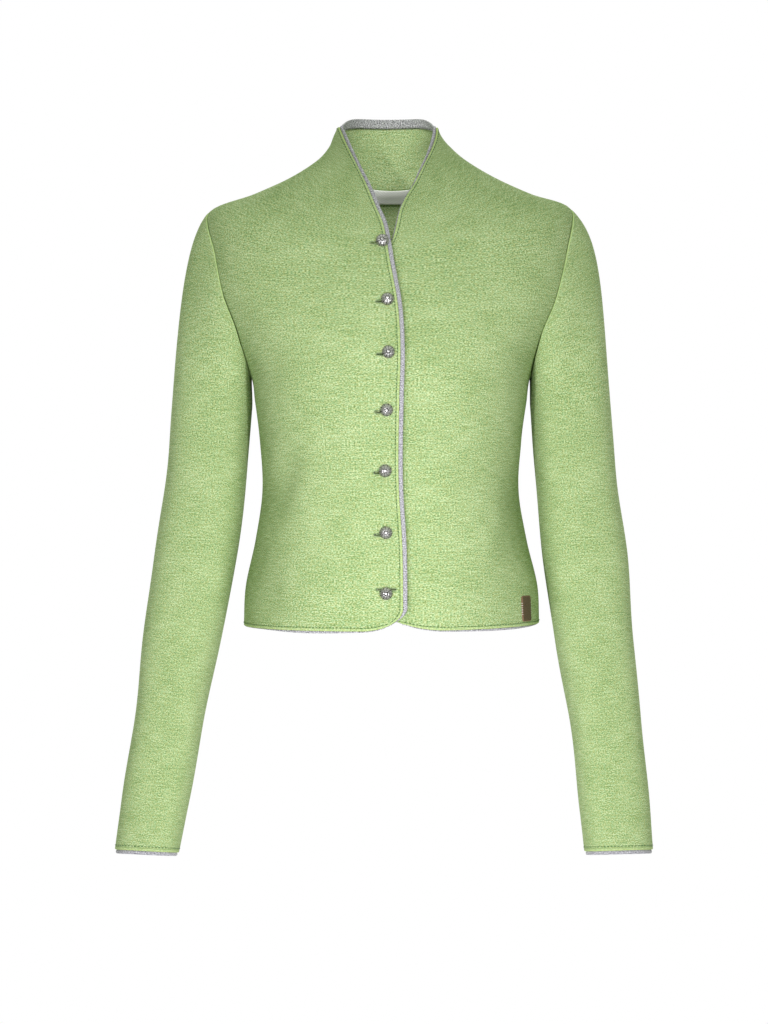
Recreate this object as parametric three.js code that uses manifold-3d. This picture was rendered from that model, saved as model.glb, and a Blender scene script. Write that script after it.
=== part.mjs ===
// A short fitted knit cardigan with a stand collar grown on to the fronts, a V neck, seven domed buttons,
// set-in sleeves and a contrast binding that peeps out past every edge. It is filled out as if worn.
// Millimetres, +Z up. The front faces -Y and the wearer's right side is at -X.
// The origin is between the wearer's shoulders, at the foot of the neck.
import * as THREE from "three";
import { mergeVertices } from "three/addons/utils/BufferGeometryUtils.js";
import Module from "manifold-3d";

// Cloth and trim
const CLOTH = 1.8; // thickness of the fulled knit
const BINDING = 1.2; // thickness of the folded jersey strip
const SEAM = 0.3; // gap between pieces
const BINDING_INSIDE = 6.5; // how far the strip lies on the inside of an edge
const COLLAR_INSIDE = 5; // and inside the collar's top
const PIPE = 4.4; // how far the strip shows past the front and neck edges
const LEFT_PIPE = 1.2; // and past the left one, below the neck
const LEFT_PIPE_RISE = 45; // over this much above the neck it widens
const PEEP = 2.5; // how far it shows at most past the hem and the collar's top
const LEAST_PEEP = 0.8; // and at least
const CUFF_PEEP = 3.8; // how far it shows past the cuffs
const LAP_DROP = 4.1; // how far the left front lies under the right one
const LAP_REACH = 20; // the lap's half width, out to the wearer's left
const LAP_FADE = 30; // the width over which the left front comes back up

// Hem corners of the fronts are quarter ellipses
const HEM_Z = -437;
const CORNER_RISE = 22;
const RIGHT_CORNER = 40;
const LEFT_CORNER = 62;

// The body of the garment, as rings from the hem up to the collar's top. Each ring passes through a
// point at the centre front, one at each side and one at the centre back. The fuller it is, the squarer
// its quarters.
const FRONT_LINE = [
  { name: "hem", y: -112, z: HEM_Z, full: 0.14 },
  { name: "hip", y: -113.5, z: -398, full: 0.15 },
  { name: "belly", y: -113, z: -350, full: 0.16 },
  { name: "waist", y: -113.5, z: -300, full: 0.17 },
  { name: "ribs", y: -118, z: -250, full: 0.2 },
  { name: "bust", y: -122, z: -206, full: 0.24 },
  { name: "underarm", y: -121, z: -173, full: 0.24 },
  { name: "armhole low", y: -115, z: -143, full: 0.22 },
  { name: "armhole middle", y: -105, z: -113, full: 0.17 },
  { name: "armhole high", y: -94, z: -85, full: 0.12 },
  { name: "shoulder", y: -87, z: -62, full: 0.08 },
  { name: "shoulder middle", y: -81, z: -45, full: 0.05 },
  { name: "shoulder inner", y: -73, z: -31, full: 0.03 },
  { name: "neck", y: -57, z: -12, full: 0.02 },
  { name: "collar low", y: -46, z: 14, full: 0 },
  { name: "collar high", y: -41, z: 40, full: 0 },
  { name: "collar top", y: -38, z: 60, full: 0 },
];
// Half the width from side to side, how far the ring's middle lies to the wearer's left, and how much
// higher its left side lies than its middle
const SIDE_LINE = [
  { name: "hem", x: 147.5, y: 0, z: -433.5, sway: 1, tilt: 1.3 },
  { name: "hip", x: 146, y: 0, z: -398, sway: 1, tilt: 0.6 },
  { name: "belly", x: 135.5, y: 0, z: -350, sway: 0.6, tilt: 0 },
  { name: "waist", x: 128, y: 0, z: -300, sway: 0, tilt: 0 },
  { name: "ribs", x: 130.5, y: 0, z: -250, sway: 0, tilt: 0 },
  { name: "bust", x: 135.5, y: 2, z: -212, sway: 0.3, tilt: 0 },
  { name: "underarm", x: 139.5, y: 4, z: -187, sway: 0.3, tilt: 0 },
  { name: "armhole low", x: 157.5, y: 5, z: -150, sway: -0.8, tilt: 0 },
  { name: "armhole middle", x: 177.5, y: 6, z: -108, sway: -0.6, tilt: 0 },
  { name: "armhole high", x: 185, y: 7, z: -63, sway: 0.2, tilt: 0 },
  { name: "shoulder", x: 181.3, y: 8, z: -20.3, sway: -0.4, tilt: 1.5 },
  { name: "shoulder middle", x: 137, y: 8, z: -3, sway: 2.1, tilt: 0 },
  { name: "shoulder inner", x: 104, y: 8, z: 12, sway: 2.1, tilt: 0 },
  { name: "neck", x: 76, y: 7, z: 29, sway: 1.2, tilt: 0 },
  { name: "collar low", x: 61, y: 5, z: 43, sway: -0.7, tilt: 0 },
  { name: "collar high", x: 54, y: 3, z: 54, sway: -3, tilt: 0 },
  { name: "collar top", x: 50, y: 1, z: 62.5, sway: -2.9, tilt: 0 },
];
// The more level it is, the nearer to its sides the back of a ring drops to them
const BACK_LINE = [
  { name: "hem", y: 100, z: -435, full: 0.16, level: 2 },
  { name: "hip", y: 97, z: -398, full: 0.16, level: 2 },
  { name: "belly", y: 87, z: -350, full: 0.16, level: 2 },
  { name: "waist", y: 80, z: -300, full: 0.16, level: 2 },
  { name: "ribs", y: 84, z: -250, full: 0.18, level: 2 },
  { name: "bust", y: 93, z: -206, full: 0.2, level: 2 },
  { name: "underarm", y: 98, z: -172, full: 0.2, level: 2 },
  { name: "armhole low", y: 100, z: -138, full: 0.18, level: 2 },
  { name: "armhole middle", y: 99, z: -102, full: 0.15, level: 2 },
  { name: "armhole high", y: 94, z: -66, full: 0.12, level: 2 },
  { name: "shoulder", y: 86, z: -36, full: 0.1, level: 2 },
  { name: "shoulder middle", y: 78, z: -15, full: 0.08, level: 2 },
  { name: "shoulder inner", y: 70, z: -3, full: 0.06, level: 2 },
  { name: "neck", y: 64, z: 7, full: 0.04, level: 2 },
  { name: "collar low", y: 60, z: 30, full: 0.03, level: 2 },
  { name: "collar high", y: 55, z: 54, full: 0.02, level: 2 },
  { name: "collar top", y: 50, z: 74, full: 0.12, level: 6 },
];
const RINGS = FRONT_LINE.map((front, i) => ({
  name: front.name,
  frontY: front.y,
  frontZ: front.z,
  frontFull: front.full,
  sideX: SIDE_LINE[i].x,
  sideY: SIDE_LINE[i].y,
  sideZ: SIDE_LINE[i].z,
  sway: SIDE_LINE[i].sway,
  tilt: SIDE_LINE[i].tilt,
  backY: BACK_LINE[i].y,
  backZ: BACK_LINE[i].z,
  backFull: BACK_LINE[i].full,
  backLevel: BACK_LINE[i].level,
}));

// Front edges: how far the cloth of each front reaches past the centre at a height, less than nothing in
// the V
const RIGHT_EDGE = [
  { z: -440, reach: 12 },
  { z: -349, reach: 10.8 },
  { z: -303, reach: 7.9 },
  { z: -211, reach: 8.2 },
  { z: -165, reach: 9.3 },
  { z: -118, reach: 6.3 },
  { z: -94, reach: 2.2 },
  { z: -76, reach: -1.2 },
  { z: -56, reach: -4.3 },
  { z: -40, reach: -7.6 },
  { z: -21, reach: -15 },
  { z: -8, reach: -20 },
  { z: 9, reach: -27.5 },
  { z: 26, reach: -36 },
  { z: 44, reach: -44.7 },
  { z: 56, reach: -49.6 },
  { z: 66, reach: -53.4 },
];
const LEFT_EDGE = [
  { z: -440, reach: 5 },
  { z: -390, reach: 13 },
  { z: -300, reach: 15 },
  { z: -110, reach: 15 },
  { z: -80, reach: 13.3 },
  { z: -66, reach: 7 },
  { z: -54.5, reach: -1.5 },
  { z: -40, reach: -5.8 },
  { z: -24, reach: -9.8 },
  { z: -12, reach: -15.1 },
  { z: 0.4, reach: -22.8 },
  { z: 18, reach: -31.4 },
  { z: 34, reach: -39.4 },
  { z: 46, reach: -44.2 },
  { z: 56, reach: -46.6 },
  { z: 66, reach: -47 },
];

// The collar's seams with the fronts run from the neck's sides back to this many degrees behind them at
// the top
const COLLAR_LEAN = 20;

// The armhole is an oval on the body, this many degrees wide in front of the side and behind it
const ARMHOLE_FRONT = 27;
const ARMHOLE_BACK = 33;

// Sleeve sections from the upper arm to the cuff: centre, half width across the front and half depth
const RIGHT_SLEEVE = [
  { z: -216, x: 178.5, y: 5, halfWidth: 40, halfDepth: 53 },
  { z: -290, x: 184.5, y: 5, halfWidth: 40, halfDepth: 51 },
  { z: -370, x: 195.5, y: 2, halfWidth: 41, halfDepth: 48 },
  { z: -450, x: 208.5, y: -4, halfWidth: 38.3, halfDepth: 45 },
  { z: -530, x: 220.5, y: -13, halfWidth: 34, halfDepth: 42 },
  { z: -610, x: 233.5, y: -24, halfWidth: 33.2, halfDepth: 39.5 },
  { z: -657.5, x: 241.2, y: -29, halfWidth: 31.5, halfDepth: 38 },
];
const LEFT_SLEEVE = [
  { z: -216, x: 180, y: 5, halfWidth: 40, halfDepth: 53 },
  { z: -290, x: 185.8, y: 5, halfWidth: 40.4, halfDepth: 51 },
  { z: -370, x: 195, y: 2, halfWidth: 42, halfDepth: 48 },
  { z: -450, x: 203.3, y: -4, halfWidth: 38.8, halfDepth: 45 },
  { z: -530, x: 214, y: -13, halfWidth: 35.2, halfDepth: 42 },
  { z: -610, x: 221.8, y: -24, halfWidth: 34.6, halfDepth: 39.5 },
  { z: -657, x: 225.8, y: -29, halfWidth: 33.8, halfDepth: 38 },
];
// The sleeve's head: how far it turns up where it leaves the shoulder, how strongly it leaves the
// armhole, and how strongly its top runs on into the upper arm, as shares of its run
const RIGHT_HEAD = { crown: 0.95, start: 0.59, end: 0.75 };
const LEFT_HEAD = { crown: 1.05, start: 0.65, end: 1.7 };
const UNDERARM_END = 0.75; // and how strongly it runs on at the underarm
const CROSSWISE = 0.35; // how far the sleeve's rings turn with its slant across the front
const SLEEVE_FULL = 0.2; // how square the quarters of its rings are

// Soft folds of the fronts, as seen from the front: from a point to a point, half width and depth
const FOLDS = [
  { fromX: -94, fromZ: -252, toX: -122, toZ: -345, width: 17, depth: 5.2 },
  { fromX: -118, fromZ: -330, toX: -138, toZ: -425, width: 20, depth: 2.6 },
  { fromX: 116, fromZ: -262, toX: 132, toZ: -400, width: 18, depth: 3.6 },
  { fromX: -160, fromZ: -108, toX: -118, toZ: -178, width: 13, depth: 2.6 },
  { fromX: 158, fromZ: -122, toX: 122, toZ: -182, width: 13, depth: 1.8 },
];

// Buttons from the neck down, how far above its middle a button's shank goes through its slit, and how
// far the slit runs to the wearer's right and left of the shank
const BUTTONS = [
  { x: -8.2, z: -58.6, shank: -2, right: 11, left: 0 },
  { x: -3.2, z: -116.9, shank: -2, right: 11, left: 0 },
  { x: -2.3, z: -168.5, shank: -2, right: 11, left: 0 },
  { x: -4, z: -224, shank: -2, right: 11, left: 0 },
  { x: -5.3, z: -282.3, shank: -2, right: 11, left: 0 },
  { x: -4.7, z: -342, shank: -2, right: 11, left: 0 },
  { x: -4.5, z: -400.5, shank: 3.8, right: 9, left: 9 },
];
const BUTTON_RADIUS = 6.2;
const BUTTON_DOME = 4.6;
const SHANK_RADIUS = 1.1;
const SLIT_WIDTH = 1.1;
const EYE_RADIUS = 2.1;

// Labels
const NECK_LABEL = { halfWidth: 28, height: 20, thickness: 0.7 };
const HEM_PATCH = { x: 133.5, z: -416.5, halfWidth: 8.5, halfHeight: 13.2, corner: 3, thickness: 1.4 };

// How finely the cloth is divided
const ROWS_BELOW = 8; // from the hem's corners to the underarm
const ROWS_ARMHOLE = 10; // up the armhole
const ROWS_SHOULDER = 5; // from the shoulder's end to the neck
const ROWS_COLLAR = 4;
const FRONT_COLUMNS = 12;
const BACK_COLUMNS = 20;
const CAP_ROWS = 7;
const SLEEVE_ROWS = 12;
const BUTTON_SIDES = 12;

const GREEN = new THREE.MeshStandardMaterial({
  color: 0xadc588,
  roughness: 0.95,
  metalness: 0,
  name: "cloth",
});
const GREY = new THREE.MeshStandardMaterial({
  color: 0xb0aeb2,
  roughness: 0.9,
  metalness: 0,
  name: "binding",
});
const SILVER = new THREE.MeshStandardMaterial({
  color: 0x8f8d88,
  roughness: 0.38,
  metalness: 1,
  name: "button",
});
const WHITE = new THREE.MeshStandardMaterial({
  color: 0xe4e4de,
  roughness: 0.8,
  metalness: 0,
  name: "label",
});
const BROWN = new THREE.MeshStandardMaterial({
  color: 0x6b5038,
  roughness: 0.6,
  metalness: 0,
  name: "patch",
});

const clamp = (x) => Math.min(1, Math.max(0, x));
const ease = (x) => clamp(x) ** 2 * (3 - 2 * clamp(x));
const mix = (a, b, t) => a + (b - a) * t;
const steps = (from, to, count) => Array.from({ length: count + 1 }, (_, i) => mix(from, to, i / count));
const point = (x, y, z) => new THREE.Vector3(x, y, z);

// The columns of a table at a distance along it, on a smooth curve through its rows
function tableAt(rows, knots, distance) {
  let i = 0;
  while (i < rows.length - 2 && distance > knots[i + 1]) i++;
  const span = knots[i + 1] - knots[i];
  const t = (distance - knots[i]) / span;
  const rise = (column, row) => (rows[row + 1][column] - rows[row][column]) / (knots[row + 1] - knots[row]);
  const slope = (column, row) => {
    if (row === 0) return rise(column, 0);
    if (row === rows.length - 1) return rise(column, row - 1);
    const before = knots[row] - knots[row - 1];
    const after = knots[row + 1] - knots[row];
    return (rise(column, row - 1) * after + rise(column, row) * before) / (before + after);
  };
  const at = {};
  for (const column of Object.keys(rows[0])) {
    if (column === "name") continue;
    at[column] =
      rows[i][column] * (1 + 2 * t) * (1 - t) ** 2 +
      rows[i + 1][column] * t * t * (3 - 2 * t) +
      span * (slope(column, i) * t * (1 - t) ** 2 - slope(column, i + 1) * t * t * (1 - t));
  }
  return at;
}

// Knots of the body's rings: how far apart they lie at the front, the side and the back, on average
const RING_KNOTS = [0];
RINGS.slice(1).forEach((ring, i) => {
  const below = RINGS[i];
  const front = Math.hypot(ring.frontY - below.frontY, ring.frontZ - below.frontZ);
  const side = Math.hypot(ring.sideX - below.sideX, ring.sideZ - below.sideZ);
  const back = Math.hypot(ring.backY - below.backY, ring.backZ - below.backZ);
  RING_KNOTS.push(RING_KNOTS[i] + (front + side + back) / 3);
});
const knotOf = (name) => RING_KNOTS[RINGS.findIndex((ring) => ring.name === name)];
const UNDERARM = knotOf("underarm");
const SHOULDER = knotOf("shoulder");
const NECK = knotOf("neck");
const TOP = knotOf("collar top");

// A point of the body at a height along its rings. The angle is 0 at the centre front, a quarter turn at
// the wearer's right side, a half turn at the centre back, and below 0 on the wearer's left.
function bodyPoint(height, angle) {
  const ring = tableAt(RINGS, RING_KNOTS, height);
  const sin = Math.sin(angle);
  const cos = Math.cos(angle);
  const front = [ring.frontY, ring.frontZ, ring.frontFull, 2];
  const back = [ring.backY, ring.backZ, ring.backFull, ring.backLevel];
  const [y, z, full, level] = cos > 0 ? front : back;
  return point(
    ring.sway - ring.sideX * sin * (1 + full * cos * cos),
    ring.sideY + (y - ring.sideY) * Math.abs(cos) * (1 + full * sin * sin),
    z + (ring.sideZ - z) * Math.abs(sin) ** level - ring.tilt * sin,
  );
}

function bodyNormal(height, angle) {
  const small = 0.5;
  const turn = 0.01;
  const up = bodyPoint(height + small, angle).sub(bodyPoint(height - small, angle));
  const round = bodyPoint(height, angle + turn).sub(bodyPoint(height, angle - turn));
  return up.cross(round).normalize();
}

// How deep the soft folds press the fronts in at a place
function foldDepth(x, z) {
  let depth = 0;
  for (const fold of FOLDS) {
    const runX = fold.toX - fold.fromX;
    const runZ = fold.toZ - fold.fromZ;
    const length = Math.hypot(runX, runZ);
    const along = ((x - fold.fromX) * runX + (z - fold.fromZ) * runZ) / length ** 2;
    const off = ((x - fold.fromX) * runZ - (z - fold.fromZ) * runX) / length;
    if (along <= 0 || along >= 1) continue;
    depth += fold.depth * Math.sin(Math.PI * along) * Math.exp(-((off / fold.width) ** 2));
  }
  return depth;
}

// A spot on the cloth: its outer point and its outward normal. "side" is 1 for the wearer's right front,
// -1 for the left front and 0 for the back and the collar.
function spot(height, angle, side = 0, cornerLift = 0) {
  const normal = bodyNormal(height, angle);
  const outer = bodyPoint(height, angle);
  if (side !== 0) {
    const fade = ease((Math.PI / 2 - Math.abs(angle)) / 0.25);
    outer.addScaledVector(normal, -foldDepth(outer.x, outer.z) * fade);
    outer.z += cornerLift * cornerShare(side, side * outer.x);
  }
  if (side < 0) {
    const across = 1 - ease((outer.x - LAP_REACH) / LAP_FADE);
    const down = 1 - ease((outer.z - HIGH_LAP) / LAP_FADE);
    outer.addScaledVector(normal, -LAP_DROP * across * down);
  }
  return { outer, normal };
}
const HIGH_LAP = -52;

// How much of the hem corner's lift a place gets, by how far it reaches past the centre
function cornerShare(side, reach) {
  const corner = side > 0 ? RIGHT_CORNER : LEFT_CORNER;
  const into = clamp((reach - frontEdge(side)[0].reach + corner) / corner);
  return clamp((1 - Math.sqrt(1 - into * into)) / (1 - Math.SQRT1_2));
}

const frontEdge = (side) => (side > 0 ? RIGHT_EDGE : LEFT_EDGE);

// The front edge at a height: its reach past the centre, and how far the hem corner lifts the cloth there
function edgeAt(side, z) {
  const rows = frontEdge(side);
  const corner = side > 0 ? RIGHT_CORNER : LEFT_CORNER;
  const knots = rows.map((row) => row.z);
  const reach = tableAt(rows, knots, z).reach;
  const low = clamp((z - HEM_Z) / CORNER_RISE);
  const turn = (Math.PI / 4) * (1 + low);
  return {
    reach: reach - corner * (1 - Math.sin(turn)),
    lift: HEM_Z + CORNER_RISE * (1 - Math.cos(turn)) - mix(HEM_Z, HEM_Z + CORNER_RISE, low),
  };
}

// The angle at which a ring of the body meets a front's edge, found by halving
function edgeAngle(height, side) {
  let [low, high] = [-0.3, Math.PI / 2];
  for (let i = 0; i < 40; i++) {
    const middle = (low + high) / 2;
    const at = bodyPoint(height, side * middle);
    if (side * at.x < edgeAt(side, at.z).reach) high = middle;
    else low = middle;
  }
  return side * low;
}

// Heights of the cloth's rows. Up the armhole they follow its oval, so its edge is evenly divided.
const armholeTurns = steps(0, Math.PI, ROWS_ARMHOLE);
const armholeHeight = (turn) => mix(UNDERARM, SHOULDER, (1 - Math.cos(turn)) / 2);
const hemHeights = steps(0, BINDING_INSIDE, 2);
const cornerHeights = steps(BINDING_INSIDE, CORNER_RISE, 3);
const heightsBelow = steps(CORNER_RISE, UNDERARM, ROWS_BELOW);
const heightsArmhole = armholeTurns.map(armholeHeight);
const heightsShoulder = steps(SHOULDER, NECK, ROWS_SHOULDER);
const heightsCollar = steps(NECK, TOP - COLLAR_INSIDE, ROWS_COLLAR);
const topHeights = steps(TOP - COLLAR_INSIDE, TOP, 2);
const HEIGHTS = [
  hemHeights,
  cornerHeights,
  heightsBelow,
  heightsArmhole,
  heightsShoulder,
  heightsCollar,
  topHeights,
].flatMap((part, i) => (i ? part.slice(1) : part));

// How far the armhole's edge lies from the side, as an angle
function armholeWidth(height, degrees) {
  if (height <= UNDERARM || height >= SHOULDER) return 0;
  const turn = Math.acos(1 - (2 * (height - UNDERARM)) / (SHOULDER - UNDERARM));
  return THREE.MathUtils.degToRad(degrees) * Math.sin(turn);
}

// The angle of the seam between the fronts and the back or the collar
function seamAngle(height) {
  return Math.PI / 2 + THREE.MathUtils.degToRad(COLLAR_LEAN) * ease((height - NECK) / (TOP - NECK));
}

// The angle that half a seam's gap takes up at the side of a ring
function halfSeam(height) {
  const ring = tableAt(RINGS, RING_KNOTS, height);
  return (0.6 * SEAM) / Math.max(20, Math.abs((ring.backY - ring.frontY) / 2));
}

// A closed wall from rows of spots, each with its outer and inner point. A ring's rows close on themselves.
function wallGeometry(rows, closed = false) {
  const columns = rows[0].length;
  const size = rows.length * columns;
  const positions = [];
  for (const face of ["outer", "inner"]) {
    rows.flat().forEach((spotAt) => positions.push(...spotAt[face].toArray()));
  }
  const index = [];
  const outer = (row, column) => row * columns + (column % columns);
  const inner = (row, column) => size + outer(row, column);
  const quad = (a, b, c, d) => index.push(a, b, c, a, c, d);
  const across = closed ? columns : columns - 1;
  for (let row = 0; row < rows.length - 1; row++) {
    for (let column = 0; column < across; column++) {
      quad(outer(row, column), outer(row, column + 1), outer(row + 1, column + 1), outer(row + 1, column));
      quad(inner(row, column), inner(row + 1, column), inner(row + 1, column + 1), inner(row, column + 1));
    }
    if (closed) continue;
    quad(outer(row, 0), outer(row + 1, 0), inner(row + 1, 0), inner(row, 0));
    quad(outer(row, across), inner(row, across), inner(row + 1, across), outer(row + 1, across));
  }
  const last = rows.length - 1;
  for (let column = 0; column < across; column++) {
    quad(outer(0, column), inner(0, column), inner(0, column + 1), outer(0, column + 1));
    quad(outer(last, column), outer(last, column + 1), inner(last, column + 1), inner(last, column));
  }
  const geometry = new THREE.BufferGeometry();
  geometry.setAttribute("position", new THREE.Float32BufferAttribute(positions, 3));
  geometry.setIndex(volumeOf(positions, index) < 0 ? index.reverse() : index);
  geometry.computeVertexNormals();
  return geometry;
}

function volumeOf(positions, index) {
  const corner = (i) => new THREE.Vector3().fromArray(positions, 3 * index[i]);
  let volume = 0;
  for (let i = 0; i < index.length; i += 3) volume += corner(i).dot(corner(i + 1).cross(corner(i + 2))) / 6;
  return volume;
}

// The wall of a spot, from a depth under the cloth's outer face down to a further depth
const layer = ({ outer, normal }, from, to) => ({
  outer: outer.clone().addScaledVector(normal, -from),
  inner: outer.clone().addScaledVector(normal, -to),
});
const cloth = (spotAt) => layer(spotAt, 0, CLOTH);
const strip = (spotAt) => layer(spotAt, CLOTH + SEAM, CLOTH + SEAM + BINDING);

// One row of a front: its angles from the edge to the side, armhole or shoulder seam, and the hem
// corner's lift. The first two steps in from the edge are as wide as half the binding, as measured
// across the edge.
function frontRow(row, side) {
  const height = clamp(row / TOP) * TOP;
  const start = edgeAngle(height, side);
  const end = side * (seamAngle(height) - armholeWidth(height, ARMHOLE_FRONT) - halfSeam(height));
  const lift = edgeAt(side, bodyPoint(height, start).z).lift;
  const small = 0.02;
  const aside = bodyPoint(height, start + small).distanceTo(bodyPoint(height, start - small)) / (2 * small);
  const near = height + (height > TOP / 2 ? -2 : 2);
  const nearStart = edgeAngle(near, side);
  const lean = bodyPoint(near, nearStart).distanceTo(bodyPoint(height, start));
  const rise = bodyPoint(near, start).distanceTo(bodyPoint(height, start));
  const slant = Math.min(1.25, lean / Math.max(0.1, rise));
  const inward = (distance) => start + (side * distance * slant) / aside;
  const past = steps(inward(BINDING_INSIDE), end, FRONT_COLUMNS - 2);
  const angles = [start, inward(BINDING_INSIDE / 2), ...past];
  return { angles, lift, inward };
}

function frontPanel(side) {
  const rows = HEIGHTS.map((height) => {
    const { angles, lift } = frontRow(height, side);
    return angles.map((angle) => cloth(spot(height, angle, side, lift)));
  });
  return wallGeometry(rows);
}

// The angles of a row round the back, between its seams with the fronts
function backAngles(height) {
  const start = seamAngle(height) + armholeWidth(height, ARMHOLE_BACK) + halfSeam(height);
  return steps(start, 2 * Math.PI - start, BACK_COLUMNS);
}

function backPanel() {
  const rows = HEIGHTS.filter((height) => height < NECK - 1)
    .concat(NECK - SEAM / 2)
    .map((height) => backAngles(height).map((angle) => cloth(spot(height, angle))));
  return wallGeometry(rows);
}

function collarPanel() {
  const rows = [NECK + SEAM / 2, ...HEIGHTS.filter((height) => height > NECK + 1)];
  return wallGeometry(rows.map((height) => backAngles(height).map((angle) => cloth(spot(height, angle)))));
}

// The sleeve: its head leaves the armhole across the seam and turns down into the upper arm
function sleevePoint(section, lean, turn, side) {
  const cos = Math.cos(turn);
  const sin = Math.sin(turn);
  const across = -section.halfWidth * cos * (1 + SLEEVE_FULL * sin * sin);
  const forward = section.halfDepth * sin * (1 + SLEEVE_FULL * cos * cos);
  return point(
    -side * (section.x + across * Math.cos(lean.out)),
    section.y - forward * Math.cos(lean.forward),
    section.z + across * Math.sin(lean.out) + forward * Math.sin(lean.forward),
  );
}

// The body's edge at the armhole, from the underarm (0) up the front, over the shoulder (half a turn)
// and down the back: its outer point and normal, the way along the edge and the way off it
function armholeSpot(turn, side) {
  const at = (part) => {
    const round = (part + 2 * Math.PI) % (2 * Math.PI);
    const front = round <= Math.PI;
    const height = armholeHeight(round);
    const width = armholeWidth(height, front ? ARMHOLE_FRONT : ARMHOLE_BACK);
    return spot(height, side * (Math.PI / 2 + (front ? -width : width)), front ? side : 0);
  };
  const small = 0.02;
  const { outer, normal } = at(turn);
  const along = at(turn + small).outer.sub(at(turn - small).outer).normalize();
  return { outer, normal, along, away: normal.clone().cross(along).multiplyScalar(side) };
}

function sleeveSurface(side) {
  const [sections, head] = side > 0 ? [RIGHT_SLEEVE, RIGHT_HEAD] : [LEFT_SLEEVE, LEFT_HEAD];
  const knots = sections.map((section) => -section.z);
  // How far the sleeve's rings turn outwards and forwards at a distance down it
  const leanAt = (distance) => {
    const span = 4;
    const above = tableAt(sections, knots, distance - span);
    const below = tableAt(sections, knots, distance + span);
    const drop = above.z - below.z;
    return {
      out: CROSSWISE * Math.atan2(below.x - above.x, drop),
      forward: Math.atan2(above.y - below.y, drop),
    };
  };
  const arm = (distance, turn) =>
    sleevePoint(tableAt(sections, knots, distance), leanAt(distance), turn, side);
  // Where the head starts on the armhole, and which way it leaves
  const start = (turn) => {
    const { outer, normal, along, away } = armholeSpot(turn, side);
    const up = (1 - Math.cos(turn)) / 2; // 0 at the underarm and 1 at the shoulder
    const facing = point(-side * (0.1 + 0.9 * (2 * up - 1)), -Math.sin(turn), head.crown * up).normalize();
    const across = facing.clone().cross(along).normalize().multiplyScalar(side);
    return { from: outer.addScaledVector(away, SEAM).addScaledVector(normal, SEAM), across };
  };
  const cap = (t, turn) => {
    const { from, across } = start(turn);
    const to = arm(knots[0], turn);
    const run = from.distanceTo(to);
    const down = arm(knots[0] + 1, turn).sub(to).normalize();
    const end = mix(UNDERARM_END, head.end, (1 - Math.cos(turn)) / 2);
    return from
      .multiplyScalar((1 + 2 * t) * (1 - t) ** 2)
      .addScaledVector(to, t * t * (3 - 2 * t))
      .addScaledVector(across, head.start * run * t * (1 - t) ** 2)
      .addScaledVector(down, -end * run * t * t * (1 - t));
  };
  return { arm, cap, top: knots[0], cuff: knots.at(-1) };
}

const sleeveTurns = [...armholeTurns, ...armholeTurns.slice(1, -1).map((turn) => turn + Math.PI)];

// Outward normals of a closed ring of rows, from the points round each one
function ringSpots(rows) {
  const count = rows[0].length;
  return rows.map((row, i) =>
    row.map((outer, k) => {
      const up = rows[Math.max(0, i - 1)][k].clone().sub(rows[Math.min(rows.length - 1, i + 1)][k]);
      const round = row[(k + 1) % count].clone().sub(row[(k + count - 1) % count]);
      const centre = row.reduce((sum, p) => sum.add(p), point(0, 0, 0)).divideScalar(count);
      const normal = up.cross(round).normalize();
      return { outer, normal: normal.dot(outer.clone().sub(centre)) < 0 ? normal.negate() : normal };
    }),
  );
}

function sleeveRows(side) {
  const surface = sleeveSurface(side);
  const capRows = steps(0, 1, CAP_ROWS).slice(0, -1);
  const armRows = steps(surface.top, surface.cuff, SLEEVE_ROWS);
  return [
    ...capRows.map((share) => sleeveTurns.map((turn) => surface.cap(share, turn))),
    ...armRows.map((distance) => sleeveTurns.map((turn) => surface.arm(distance, turn))),
  ];
}

// The sleeve's wall, mitred at the armhole so that its thickness never leans over the body's edge
function sleevePanel(side) {
  const rows = ringSpots(sleeveRows(side));
  rows[0].forEach((at, k) => {
    const { away } = armholeSpot(sleeveTurns[k], side);
    const lean = away.dot(at.normal);
    if (lean > 0) at.normal.addScaledVector(away, -lean).divideScalar(Math.max(0.6, 1 - lean ** 2));
  });
  return wallGeometry(rows.map((row) => row.map(cloth)), true);
}

function cuffBinding(side) {
  const surface = sleeveSurface(side);
  const distances = [-BINDING_INSIDE, -BINDING_INSIDE / 2, 0, CUFF_PEEP].map((step) => surface.cuff + step);
  const rows = distances.map((distance) => sleeveTurns.map((turn) => surface.arm(distance, turn)));
  return wallGeometry(ringSpots(rows).map((row) => row.map(strip)), true);
}

// The strip along a front's edge, from below the hem corner up past the collar's top
function frontBinding(side) {
  const rows = [-LEAST_PEEP, ...HEIGHTS, TOP + PEEP].map((height) => {
    const { angles, lift, inward } = frontRow(height, side);
    const wide = side > 0 ? PIPE : mix(LEFT_PIPE, PIPE, ease((height - NECK) / LEFT_PIPE_RISE));
    const pipe = mix(LEAST_PEEP, wide, ease(height / CORNER_RISE));
    const columns = [inward(-pipe), inward(-pipe / 2), ...angles.slice(0, 3)];
    return columns.map((angle) => strip(spot(height, angle, side, lift)));
  });
  return wallGeometry(rows);
}

// A row of a strip round the hem or the collar's top, between the ends of the two front strips. Its
// height may change with the angle.
function roundStrip(height, level) {
  const right = frontRow(level, 1);
  const left = frontRow(level, -1);
  const gap = BINDING_INSIDE + SEAM;
  return [
    ...[right.inward(gap), ...right.angles.slice(3)].map((angle) =>
      strip(spot(height(angle), angle, 1, right.lift))),
    ...backAngles(level).map((angle) => strip(spot(height(angle), angle))),
    ...[left.inward(gap), ...left.angles.slice(3)]
      .reverse()
      .map((angle) => strip(spot(height(angle), angle, -1, left.lift))),
  ];
}

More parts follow.
